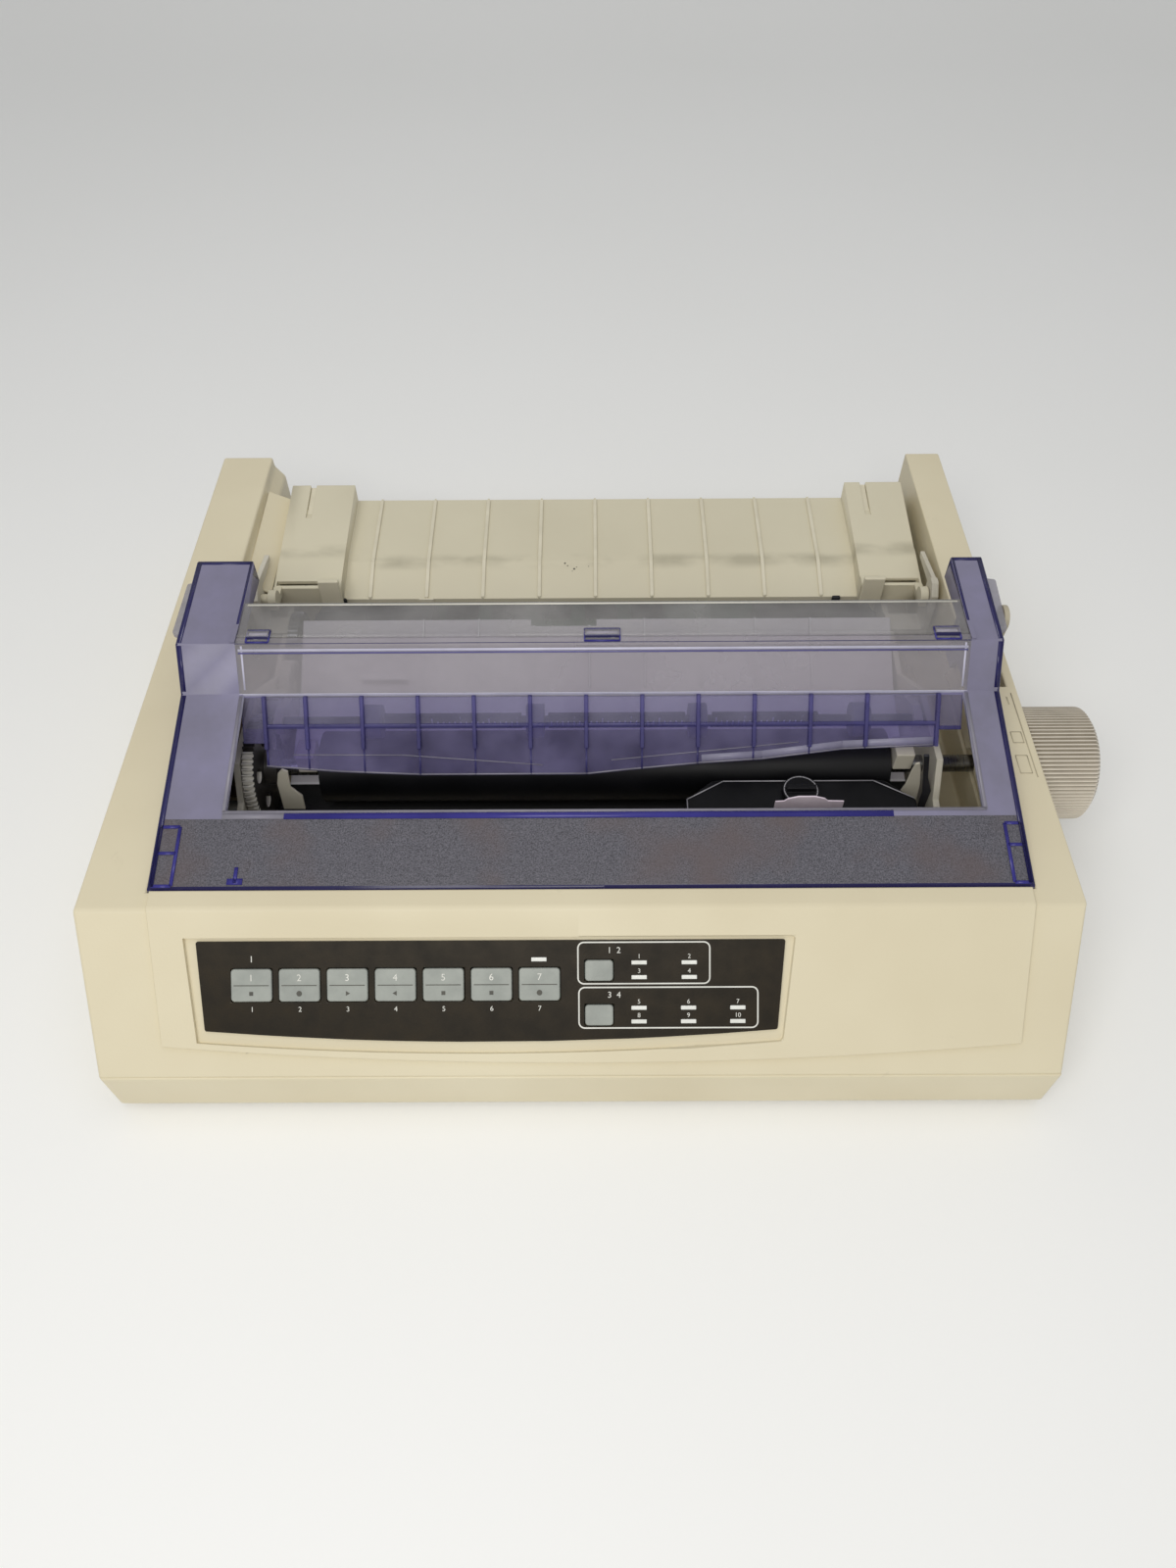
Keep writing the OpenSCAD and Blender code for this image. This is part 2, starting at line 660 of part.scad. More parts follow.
module sep_side(x0, x1) difference() {
    along_x(x0, x1) polygon([[side_front_y, sep_front_z - 1], [side_front_y, side_front_z],
        [sep_rear_y, side_rear_z], [sep_rear_y, sep_rear_z - 4]]);
    along_x(x0 + sep_t, x1 - sep_t) polygon([[side_front_y + sep_t, sep_front_z - 2],
        [side_front_y + sep_t, side_front_z - sep_t], [sep_rear_y - sep_t, side_rear_z - sep_t],
        [sep_rear_y - sep_t, sep_rear_z - 6]]);
    // Slot of the sheet guide's rear leg
    block([x0 + 1, side_front_y + sep_t, side_front_z - 4],
        [x1 - 1, side_front_y + 4.8, side_front_z + 4]);
    // Groove along the top
    translate([(x0 + x1) / 2 - 7, 0, 0])
        block([0, sep_rear_y - 24, side_rear_z - 3.9], [3, sep_rear_y + 1, side_rear_z + 1]);
}

module paper_separator() color("#cdc3a3") {
    in_l = sep_x0 + left_side_w;
    in_r = sep_x1 - right_side_w;
    rib_pitch = 29.3;
    along_x(in_l - 0.5, in_r + 0.5) sep_band(sep_top, sep_t);
    for (i = [-4:4]) translate([7.7 + i * rib_pitch, 0, 0])
        along_x(-0.6, 0.6) sep_band([for (p = sep_top) p + [0, 0.8]], 1.2);
    block([in_l - 0.5, sep_lip_y, sep_front_z - 4], [in_r + 0.5, sep_lip_y + 1.6, sep_front_z - 0.1]);
    sep_side(sep_x0, in_l);
    sep_side(in_r, sep_x1);
    // Arms and pins of the separator hinge
    for (x = [sep_x0, sep_x1 - 4])
        block([x, sep_pivot[0] - 4, sep_pivot[1] - 4.5], [x + 4, side_front_y + 1, sep_pivot[1] - 1]);
    rod_x(sep_x0, sep_x0 + 4, sep_pivot, 4.5);
    rod_x(sep_x1 - 4, sep_x1, sep_pivot, 4.5);
    rod_x(post_l_x - 0.5, sep_x0 + 1, sep_pivot, post_pin_r);
    rod_x(sep_x1 - 1, post_r_x + post_r_t + 0.5, sep_pivot, post_pin_r);
}

module sheet_guide(x0) color("#c4ba9a") {
    y = side_front_y;
    z = side_front_z;
    along_x(x0, x0 + guide_w) polygon([[y - 5, z - 8], [y - 2.6, z - 8], [y - 2.6, z + 1.2],
        [y + 4.2, z + 1.2], [y + 4.2, z + 3], [y - 2.6, z + 3], [y - 2.6, z + 8.5], [y - 5, z + 8.5]]);
    along_x(x0 + 1.8, x0 + 8) polygon([[y + 2.6, z - 2.6], [y + 4.2, z - 2.6],
        [y + 4.2, z + 1.3], [y + 2.6, z + 1.3]]);
}

module sheet_guide_left() sheet_guide(sep_x0 + left_side_w - guide_w + 1);
module sheet_guide_right() sheet_guide(sep_x1 - right_side_w - 0.5);

// Side frame outline as a plate from x0, frame_t thick
module frame_plate(x0) along_x(x0, x0 + frame_t) polygon([
    [front_rail_y - 8, floor_z], [tractor_y + 26, floor_z], [tractor_y + 26, tractor_z + 13],
    [tractor_y - 14, tractor_z + 13], [platen_y + 60, deck_h - 31], [bail_y + 10, bail_z + 2],
    [bail_y + 4, bail_z + 7], [platen_y + 12, platen_z + 20], [platen_y - 14, platen_z + 20],
    [platen_y - 24, platen_z + 4], [rail_y - 12, rail_z + 12], [front_rail_y - 8, rail_z + 12]]);

module frame_holes(x0) {
    x1 = x0 + frame_t + 1;
    rod_x(x0 - 1, x1, platen_c, shaft_r + fit);
    rod_x(x0 - 1, x1, tractor_c, shaft_r + fit);
    rod_x(x0 - 1, x1, [rail_y, rail_z], rail_r + fit);
    rod_x(x0 - 1, x1, [support_y, support_z], 3 + fit);
    block([x0 - 1, front_rail_y - 4.1, front_rail_z - 0.1],
        [x1, front_rail_y + 12.1, front_rail_z + 2.6]);
}

// Bench screw feet of a side frame, standing out to side s
module frame_feet(x, s) {
    for (y = [front_rail_y + 12, tractor_y + 10]) difference() {
        block([min(x, x + s * 11), y - 7, floor_z], [max(x, x + s * 11), y + 7, floor_z + 3]);
        rod_z_at(x + s * 6, y, floor_z - 1, floor_z + 4, 2);
    }
}

// Post that carries one end of the separator, with an arm to the rear
module sep_post(x0, t, a0, a1) difference() {
    py = sep_pivot[0];
    pz = sep_pivot[1];
    union() {
        along_x(x0, x0 + t) polygon([[py - 6, flange_z - 1], [py + 6, flange_z - 1],
            [py + 6, pz + 5], [py + 3, pz + 9], [py - 1, pz + 9], [py - 6, pz + 4]]);
        along_x(a0, a1) polygon([[py - 1, pz + 3], [py + 27, pz + 2], [py + 28, pz + 5],
            [py + 4, pz + 9], [py - 1, pz + 9]]);
    }
    rod_x(x0 - 1, x0 + t + 1, sep_pivot, post_pin_r + fit);
}

module left_side_frame() color("#d6d0bd") {
    difference() {
        frame_plate(fl_x);
        frame_holes(fl_x);
        rod_x(fl_x - 1, fl_x + frame_t + 1, pinion_c, 5);
    }
    frame_feet(fl_x + 1, -1);
    // Pins of the idler gears
    for (c = [idler1_c, idler2_c]) rod_x(fl_x + 1, gear_x + gear_w + 1, c, 3);
    // Pin of the left bail arm
    rod_x(fl_x + 1, mech_x0 + 17.6, [bail_y, bail_z], 3);
    block([post_l_x, sep_pivot[0] - 6, flange_z - 4.5], [fl_x + 1, sep_pivot[0] + 6, flange_z - 0.9]);
    block([fl_x, sep_pivot[0] - 6, tractor_z + 8], [fl_x + frame_t, sep_pivot[0] + 6, flange_z - 0.9]);
    sep_post(post_l_x, post_t, post_l_x + 2.4, post_l_x + post_t);
}

module right_side_frame() color("#d6d0bd") {
    difference() {
        frame_plate(fr_x);
        frame_holes(fr_x);
    }
    frame_feet(fr_x + frame_t - 1, 1);
    rod_x(mech_x1 - 8.6, fr_x + 1, [bail_y, bail_z], 3);
    block([fr_x + 1, sep_pivot[0] - 6, flange_z - 4.5],
        [post_r_x + post_r_t, sep_pivot[0] + 6, flange_z - 0.9]);
    block([fr_x, sep_pivot[0] - 6, tractor_z + 8], [fr_x + frame_t, sep_pivot[0] + 6, flange_z - 0.9]);
    sep_post(post_r_x, post_r_t, post_r_x + 0.6, post_r_x + 2.8);
}

module carriage_rails() color("#a9a9ad") {
    rod_x(fl_x + 0.5, fr_x + frame_t + 1.5, [rail_y, rail_z], rail_r);
    block([fl_x - 1, front_rail_y - 4, front_rail_z],
        [fr_x + frame_t + 1, front_rail_y + 12, front_rail_z + 2.5]);
}

module platen_roller() color("#161616") difference() {
    rod_x(platen_x0, platen_x1, platen_c, platen_r);
    rod_x(platen_x0 - 1, platen_x1 + 1, platen_c, shaft_r + 0.02);
}

module platen_shaft() color("#b0b0b4") rod_x(fl_x - 1, hw + knob_gap + 12, platen_c, shaft_r);

module platen_gear() color("#e6e4da") difference() {
    union() {
        gear(gear_x, gear_w, platen_c, platen_teeth, 0, shaft_r + 0.02);
        difference() {
            rod_x(gear_x, gear_x + gear_w + 6, platen_c, 8);
            rod_x(gear_x - 1, gear_x + gear_w + 7, platen_c, shaft_r + 0.02);
        }
    }
    for (i = [0:4]) translate([0, platen_y, platen_z]) rotate([i * 72, 0, 0])
        rod_x(gear_x - 1, gear_x + gear_w + 1, [15, 0], 3.6);
}

module platen_knob() color("#a89f8f") {
    x0 = hw + knob_gap;
    rim = 7;
    groove = 0.8;
    body_r = knob_r - groove;
    ribs = 60;
    difference() {
        translate([x0, platen_y, platen_z]) rotate([0, 90, 0]) rotate_extrude($fn = 96)
            polygon(concat([[0, 0], [body_r, 0]], [for (a = [0:10:90])
                [body_r - rim + rim * cos(a), knob_len - rim + rim * sin(a)]], [[0, knob_len]]));
        rod_x(x0 - 1, x0 + 12.05, platen_c, shaft_r + 0.02);
    }
    translate([0, platen_y, platen_z]) along_x(x0, x0 + knob_len - rim) difference() {
        for (i = [0:ribs - 1]) rotate(i * 360 / ribs)
            translate([body_r - 1, -0.75]) square([groove + 1, 1.5]);
        circle(body_r - 0.5);
    }
}

module idler_gear_front() color("#e6e4da")
    gear(gear_x, gear_w, idler1_c, idler_teeth, idler1_phase, 3 + fit);

module idler_gear_rear() color("#e6e4da")
    gear(gear_x, gear_w, idler2_c, idler_teeth, idler2_phase, 3 + fit);

module motor_pinion() color("#c9b26a") {
    gear(gear_x, gear_w, pinion_c, pinion_teeth, pinion_phase, 2);
    rod_x(fl_x - 18, gear_x + gear_w, pinion_c, 2.4);
}

module line_feed_motor() color("#9a9a9e") difference() {
    union() {
        rod_x(fl_x - 26, fl_x, pinion_c, 16.5);
        rod_x(fl_x - 0.1, fl_x + frame_t - 0.4, pinion_c, 4.8);
        for (a = [0, 180]) translate([0, pinion_c[0], pinion_c[1]]) rotate([a, 0, 0])
            block([fl_x - 2, 10, -5], [fl_x, 23, 5]);
    }
    rod_x(fl_x - 19, fl_x + frame_t, pinion_c, 2.4 + fit);
}

module tractor_drive_shaft() color("#a9a9ad") {
    rod_x(fl_x - 0.5, fr_x + frame_t + 0.5, tractor_c, shaft_r);
    gear(gear_x, gear_w, tractor_c, tractor_teeth, tractor_phase, shaft_r - 1);
}

module tractor_support_shaft() color("#a9a9ad")
    rod_x(fl_x - 1, fr_x + frame_t + 1, [support_y, support_z], 3);

// Tractor body from x0, its lid side at s = -1 (left) or 1 (right)
module tractor(x0, s) color("#26262a") {
    x1 = x0 + tractor_w;
    wx = s < 0 ? x0 + 13 : x1 - 13;
    hx = s < 0 ? x0 + 1.6 : x1 - 1.6;
    low = tractor_z - 16;
    difference() {
        along_x(x0, x1) polygon([[tractor_y - 14, low], [tractor_y + 25, low],
            [tractor_y + 25, tractor_z + 9], [tractor_y + 10, tractor_z + 15],
            [tractor_y - 14, tractor_z + 15]]);
        rod_x(x0 - 1, x1 + 1, tractor_c, shaft_r + fit);
        rod_x(x0 - 1, x1 + 1, [support_y, support_z], 3 + fit);
        rod_x(wx - wheel_w / 2 - 0.6, wx + wheel_w / 2 + 0.6, tractor_c, 17.6);
        block([hx - 2.4, lid_y0 - 0.5, tractor_z + 12], [hx + 2.4, lid_y1 + 0.5, tractor_z + 16]);
    }
    rod_y(hx, lid_y0 - 1, lid_y1 + 1, tractor_z + 14, 0.9);
}

module rod_y(x, y0, y1, z, r) {
    translate([x, y1, z]) rotate([90, 0, 0]) cylinder(r = r, h = y1 - y0);
}

module tractor_left() tractor(tractor_l_x, -1);
module tractor_right() tractor(tractor_r_x, 1);

// Lid over the pins; s tells which end is hinged
module tractor_lid(x0, s) color("#1d1d20") {
    hx = s < 0 ? x0 + 1.6 : x0 + lid_w - 1.6;
    wx = s < 0 ? x0 + 13 : x0 + lid_w - 13;
    difference() {
        union() {
            block([x0, lid_y0, lid_z], [x0 + lid_w, lid_y1, lid_z + lid_t]);
            rod_y(hx, lid_y0, lid_y1, tractor_z + 14, 1.9);
            block([hx - 1.4, lid_y0, tractor_z + 14], [hx + 1.4, lid_y1, lid_z + 1]);
        }
        rod_y(hx, lid_y0 - 1, lid_y1 + 1, tractor_z + 14, 0.9 + fit);
        block([wx - 1.6, lid_y0 - 1, lid_z - 1], [wx + 1.6, lid_y1 + 1, lid_z + 2]);
    }
}

module tractor_lid_left() tractor_lid(tractor_l_x, -1);
module tractor_lid_right() tractor_lid(tractor_r_x + tractor_w - lid_w, 1);

// Wheel with the pins that pull the paper, centred on x
module pin_wheel(x) color("#3a3a3e") difference() {
    union() {
        rod_x(x - wheel_w / 2, x + wheel_w / 2, tractor_c, wheel_r);
        for (i = [0:7]) translate([x, tractor_y, tractor_z]) rotate([i * 45, 0, 0])
            translate([0, 0, wheel_r - 1.5]) cylinder(r = 0.9, h = 4.9);
    }
    rod_x(x - wheel_w, x + wheel_w, tractor_c, shaft_r + fit);
}

module pin_wheel_left() pin_wheel(tractor_l_x + 13);
module pin_wheel_right() pin_wheel(tractor_r_x + tractor_w - 13);

module bail_bar() color("#3c3a45") {
    c = [bar_y, bar_z];
    rod_x(mech_x0 + 12, mech_x1 - 2.5, c, 2.4);
    difference() {
        block([platen_x0 + 26, bar_y - 3.6, bar_z - 1], [platen_x1 - 34, bar_y - 2, bar_z + 8]);
        for (x = bail_roller_x) block([x - 6, bar_y - 10, bar_z - 9], [x + 6, bar_y + 9, bar_z + 9]);
    }
    for (x = [platen_x0 + 32, platen_x1 - 47])
        block([x, bar_y - 3, bar_z - 1], [x + 8, bar_y, bar_z + 1]);
    block([-4, bar_y - 3, bar_z - 1], [16, bar_y, bar_z + 1]);
}

module bail_arm(x0) difference() {
    along_x(x0, x0 + 4) polygon([[bar_y - 4, bar_z - 4], [bar_y - 4, bar_z + 4],
        [bar_y + 4, bar_z + 5], [bail_y + 5, bail_z + 4], [bail_y + 6, bail_z - 3],
        [bail_y, bail_z - 6], [bail_y - 6, bail_z - 2]]);
    rod_x(x0 - 1, x0 + 5, [bail_y, bail_z], 3 + fit);
    rod_x(x0 - 1, x0 + 5, [bar_y, bar_z], 2.42);
}

module bail_arms() color("#d6cfb8") {
    bail_arm(mech_x0 + 13.5);
    bail_arm(mech_x1 - 8.4);
}

module bail_rollers() color("#8d8a9c") for (x = bail_roller_x) difference() {
    rod_x(x - bail_roller_w / 2, x + bail_roller_w / 2, [bar_y, bar_z], bail_roller_r);
    rod_x(x - bail_roller_w, x + bail_roller_w, [bar_y, bar_z], 2.4 + fit);
}

module paper_chute() color("#e4e0e4") difference() {
    union() {
        kink = chute_kink;
        edge = chute_edge;
        start = polar(platen_c, chute_r, -75);
        along_x(chute_x0, chute_x1) polygon([start, kink, edge, edge - [0, chute_t + 0.4],
            kink - [-0.5, chute_t + 0.2], polar(platen_c, chute_r + chute_t, -75)]);
        // Trough round the underside of the platen
        intersection() {
            difference() {
                rod_x(chute_x0, chute_x1, platen_c, chute_r + chute_t);
                rod_x(chute_x0 - 1, chute_x1 + 1, platen_c, chute_r);
            }
            along_x(chute_x0, chute_x1) polygon([platen_c, polar(platen_c, 60, 222),
                polar(platen_c, 60, 255), polar(platen_c, 60, 286)]);
        }
        // Ribs that keep the paper off the pan
        for (i = [0:7]) translate([chute_x0 + 61 + i * chute_rib_pitch, 0, 0])
            along_x(-0.5, 0.5) polygon([kink - [0, 0.6], edge - [0, 0.6], edge + [0, 0.7],
                kink + [0, 0.7]]);
        block([chute_x0 + 31, kink[0] + 2, kink[1] - 0.6],
            [chute_x0 + 54, kink[0] + 5, kink[1] + 4.5]);
        // Feet that reach the side frames' inner faces under the platen gear
        for (x = [chute_x0, chute_x1 - 2])
            block([x, platen_y - 6, leg_z], [x + 2, platen_y + 4, platen_z - chute_r - 1]);
        block([mech_x0, platen_y - 6, leg_z], [chute_x0 + 2, platen_y + 4, leg_z + 3]);
        block([chute_x1 - 2, platen_y - 6, leg_z], [mech_x1, platen_y + 4, leg_z + 3]);
    }
    // Shallow notch in the rear edge
    block([chute_x0 + 115, chute_edge[0] - 3, chute_edge[1] - 6],
        [chute_x0 + 148, chute_edge[0] + 1, chute_edge[1] + 1]);
}

module carriage() color("#3b3b3f") {
    x0 = carriage_x - carriage_w / 2;
    x1 = x0 + carriage_w;
    difference() {
        block([x0, front_rail_y - 2, rail_z - 7], [x1, rail_y + 12, rail_z + 14]);
        rod_x(x0 - 1, x1 + 1, [rail_y, rail_z], rail_r + fit);
        // Way of the belt
        block([x0 - 1, belt_y - 10, belt_z - 7], [x1 + 1, belt_y + 5, belt_z + 6]);
        block([x0 - 1, belt_y + 4, belt_z - 5], [x1 + 1, belt_y + 9, belt_z + 5]);
        // Fork round the front rail
        block([x0 - 1, front_rail_y - 5, front_rail_z - 0.3],
            [x1 + 1, front_rail_y + 13, front_rail_z + 2.8]);
        block([x0 - 1, front_rail_y - 5, rail_z - 8], [x1 + 1, front_rail_y + 13, front_rail_z - 3]);
        // Seat of the print head
        block([x0 + 14, rail_y - 8, rail_z + 9], [x1 - 14, rail_y + 13, rail_z + 15]);
    }
    // Posts under the ribbon cartridge
    for (x = [x0, x1 - 8]) block([x, rail_y - 14, rail_z + 13.9], [x + 8, rail_y + 8, ribbon_z]);
    // Clamp that holds the belt from both sides
    for (s = [-1, 1]) block([carriage_x - 8, belt_y - pulley_r - 0.6 + s * 1.9 - 0.9, belt_z - 3],
        [carriage_x + 8, belt_y - pulley_r - 0.6 + s * 1.9 + 0.9, belt_z + 8]);
}

module print_head() color("#4a4a4e") {
    x0 = carriage_x - 15;
    x1 = carriage_x + 15;
    z0 = rail_z + 9;
    block([x0, rail_y - 7.8, z0], [x1, rail_y + 8, ribbon_z - 1.4]);
    for (i = [0:6]) block([x0 + 1 + i * 4.4, rail_y - 7.8, ribbon_z - 1.5],
        [x0 + 2.6 + i * 4.4, rail_y + 8, ribbon_z - 0.5]);
    // Nose that carries the pins to the ribbon
    along_x(carriage_x - 5, carriage_x + 5) polygon([[rail_y + 7, z0 + 1], [head_y1, platen_z - 3],
        [head_y1, platen_z + 2], [rail_y + 7, ribbon_z - 1.4]]);
}

module ribbon_cartridge() color("#121214") difference() {
    x0 = carriage_x - ribbon_w / 2;
    x1 = x0 + ribbon_w;
    along_z(ribbon_z, ribbon_z + ribbon_h) polygon([[x0 + 8, ribbon_y0], [x1 - 8, ribbon_y0],
        [x1, ribbon_y0 + 10], [x1, ribbon_y1 - 14], [x1 - 16, ribbon_y1], [x0 + 16, ribbon_y1],
        [x0, ribbon_y1 - 14], [x0, ribbon_y0 + 10]]);
    along_x(x0 - 1, x1 + 1) polygon([[ribbon_y1 - 4, ribbon_z + ribbon_h + 0.1],
        [ribbon_y1 + 0.1, ribbon_z + ribbon_h + 0.1], [ribbon_y1 + 0.1, ribbon_z + ribbon_h - 4]]);
    rod_z_at(carriage_x, ribbon_y1 - 11, ribbon_z + ribbon_h - 6, ribbon_z + ribbon_h + 1, 3 + fit);
}

module along_z(z0, z1) {
    translate([0, 0, z0]) linear_extrude(z1 - z0) children();
}

module ribbon_knob() color("#1c1c20") {
    z = ribbon_z + ribbon_h;
    rod_z_at(carriage_x, ribbon_y1 - 11, z - 5.5, z + 1, 3);
    rod_z_at(carriage_x, ribbon_y1 - 11, z + 0.3, z + 3, 8);
    block([carriage_x - 6.4, ribbon_y1 - 12.2, z + 2.9], [carriage_x + 6.4, ribbon_y1 - 9.8, z + 5.4]);
}

module carriage_belt() color("#1a1a1a") difference() {
    belt_loop(pulley_r + 1.3);
    translate([0, 0, -1]) belt_loop(pulley_r + 0.1, 2);
}

module belt_loop(r, extra = 0) {
    z0 = belt_z - 2.5;
    z1 = belt_z + 2.5 + extra;
    rod_z_at(belt_x0, belt_y, z0, z1, r);
    rod_z_at(belt_x1, belt_y, z0, z1, r);
    block([belt_x0, belt_y - r, z0], [belt_x1, belt_y + r, z1]);
}

module pulley(x) difference() {
    union() {
        rod_z_at(x, belt_y, belt_z - 3, belt_z + 3, pulley_r);
        rod_z_at(x, belt_y, belt_z - 4, belt_z - 2.9, pulley_r + 1.6);
        rod_z_at(x, belt_y, belt_z + 2.9, belt_z + 4, pulley_r + 1.6);
    }
    rod_z_at(x, belt_y, belt_z - 5, belt_z + 5, 2 + fit);
}

module motor_pulley() color("#d9d5c6") pulley(belt_x0);
module idler_pulley() color("#d9d5c6") pulley(belt_x1);

module spacing_motor() color("#9a9a9e") {
    rod_z_at(belt_x0, belt_y, floor_z, rail_z - 8, 16);
    rod_z_at(belt_x0, belt_y, rail_z - 8.1, belt_z + 4.5, 2);
    // Bracket of the idler pulley
    rod_z_at(belt_x1, belt_y, belt_z - 6, belt_z + 4.5, 2);
    block([belt_x1 - 9, belt_y - 9, floor_z], [belt_x1 + 9, belt_y + 9, belt_z - 5.9]);
}

module main_board() color("#2e6b46") difference() {
    union() {
        block([board_x0, board_y0, board_z], [board_x1, case_d - 8, board_z + 1.6]);
        for (i = [0:4]) block([board_x0 + 12 + i * 26, board_y0 + 72, board_z + 1.5],
            [board_x0 + 30 + i * 26, board_y0 + 86, board_z + 5]);
        for (i = [0:3]) rod_z_at(board_x1 - 30 + (i % 2) * 16, case_d - 52 + floor(i / 2) * 16,
            board_z + 1.5, board_z + 18, 6);
        block([board_x1 - 36, board_y0 + 4, board_z + 1.5], [board_x1 - 6, board_y0 + 9, board_z + 6]);
    }
    for (x = [board_x0 + 8, board_x1 - 8], y = [board_y0 + 8, case_d - 18])
        rod_z_at(x, y, board_z - 1, board_z + 3, 1.6);
}

module interface_connector() color("#c9ccd0") {
    z = board_z + 1.6;
    difference() {
        block([plug_x, case_d - 20, z], [plug_x + plug_w, case_d - 0.5, z + 20]);
        block([plug_x + 7, case_d - 12, z + 3.2], [plug_x + plug_w - 7, case_d, z + 17.8]);
    }
    block([plug_x + 10, case_d - 12.5, z + 9.7], [plug_x + plug_w - 10, case_d - 3, z + 11.3]);
}

module power_inlet() color("#1f1f22") {
    z = floor_z + 3;
    x = inlet_x;
    difference() {
        block([x, case_d - 26, z], [x + inlet_w, case_d - 0.3, z + inlet_h]);
        // Socket for the mains lead
        block([x + 4, case_d - 20, z + 4], [x + 29, case_d, z + 22]);
        // Well of the rocker
        block([x + 35.5, case_d - 13, z + 2], [x + 52.5, case_d, z + inlet_h - 2]);
        rod_x(x + 33, x + 54.5, [case_d - 6.5, z + inlet_h / 2], 1.5 + fit);
    }
    for (p = [[9.5, 7], [23.5, 7], [16.5, 12]]) block([x + p[0] - 1, case_d - 21, z + p[1]],
        [x + p[0] + 1, case_d - 6, z + p[1] + 4]);
    // Feet on the floor of the case
    for (u = [3, inlet_w - 11]) block([x + u, case_d - 24, floor_z], [x + u + 8, case_d - 6, z + 0.1]);
}

module power_switch() color("#2c2c30") {
    c = [case_d - 6.5, floor_z + 3 + inlet_h / 2];
    half = inlet_h / 2 - 3.6;
    tilt = 9;
    rod_x(inlet_x + 33.2, inlet_x + 54.3, c, 1.5);
    translate([0, c[0], c[1]]) rotate([-tilt, 0, 0]) along_x(inlet_x + 36, inlet_x + 52) polygon([
        [-2.5, -half], [3.6, -half], [2.6, 0], [3.6, half], [-2.5, half]]);
}

module transformer() color("#6b5a4a") {
    z = floor_z + 1.5;
    block([coil_x0, coil_y0 + 10, z], [coil_x1, coil_y1 - 10, z + coil_h]);
    block([coil_x0 + 3, coil_y0 + 3, z + 5], [coil_x1 - 3, coil_y1 - 3, z + coil_h - 5]);
    for (y = [coil_y0, coil_y1 - 12])
        block([coil_x0 + 6, y, z], [coil_x1 - 6, y + 12, z + 2]);
}

module paper_lever() color("#b9b09a") {
    difference() {
        along_x(lever_x, lever_x + 3) polygon([[lever_y - 5, lever_z - 5], [lever_y + 5, lever_z - 5],
            [lever_y + 5, lever_z + 5], [lever_y + 4, deck_h + 5], [lever_y - 1, deck_h + 5],
            [lever_y - 5, lever_z + 5]]);
        rod_x(lever_x - 1, lever_x + 4, [lever_y, lever_z], 3 + fit);
    }
    // Finger that stands outside the cover's grip
    x0 = lever_x + 2.9;
    x1 = x0 + 2.4;
    block([lever_x, lever_y - 1, deck_h + 2], [x1, lever_y + 4, deck_h + 5]);
    along_x(x0, x1) polygon([[lever_y - 1, deck_h + 4.9], [lever_y + 4, deck_h + 4.9],
        [lever_y + 8.4, deck_h + 23], [lever_y - 3.2, deck_h + 23]]);
    rod_x(x0, x1, [lever_y + 2.6, deck_h + 23], 5.8);
}

in_frame() lower_case();
in_frame() upper_case();
in_frame() rubber_feet();
in_frame() case_screws();
in_frame() control_overlay();
in_frame() indicator_lenses();
in_frame() control_board();
in_frame() button_1();
in_frame() button_2();
in_frame() button_3();
in_frame() button_4();
in_frame() button_5();
in_frame() button_6();
in_frame() button_7();
in_frame() button_8();
in_frame() button_9();
in_frame() access_cover();
in_frame() tear_guard();
in_frame() cover_grips();
in_frame() rear_flap();
in_frame() paper_separator();
in_frame() sheet_guide_left();
in_frame() sheet_guide_right();
in_frame() left_side_frame();
in_frame() right_side_frame();
in_frame() carriage_rails();
in_frame() platen_roller();
in_frame() platen_shaft();
in_frame() platen_knob();
in_frame() platen_gear();
in_frame() idler_gear_front();
in_frame() idler_gear_rear();
in_frame() line_feed_motor();
in_frame() motor_pinion();
in_frame() tractor_drive_shaft();
in_frame() tractor_support_shaft();
in_frame() tractor_left();
in_frame() tractor_right();
in_frame() tractor_lid_left();
in_frame() tractor_lid_right();
in_frame() pin_wheel_left();
in_frame() pin_wheel_right();
in_frame() bail_bar();
in_frame() bail_arms();
in_frame() bail_rollers();
in_frame() paper_chute();
in_frame() carriage();
in_frame() print_head();
in_frame() ribbon_cartridge();
in_frame() ribbon_knob();
in_frame() carriage_belt();
in_frame() spacing_motor();
in_frame() motor_pulley();
in_frame() idler_pulley();
in_frame() main_board();
in_frame() interface_connector();
in_frame() power_inlet();
in_frame() power_switch();
in_frame() transformer();
in_frame() paper_lever();
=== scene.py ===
"""Dressed scene of a desktop dot matrix printer.

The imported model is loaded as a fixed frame. Each operator dresses one group of its
pieces: it gives a CAD node its finish, or puts a piece with soft edges in its place.
"""
import json
import math
import bmesh
import bpy
from mathutils import Matrix, Vector
from mathutils.bvhtree import BVHTree
from mathutils.kdtree import KDTree

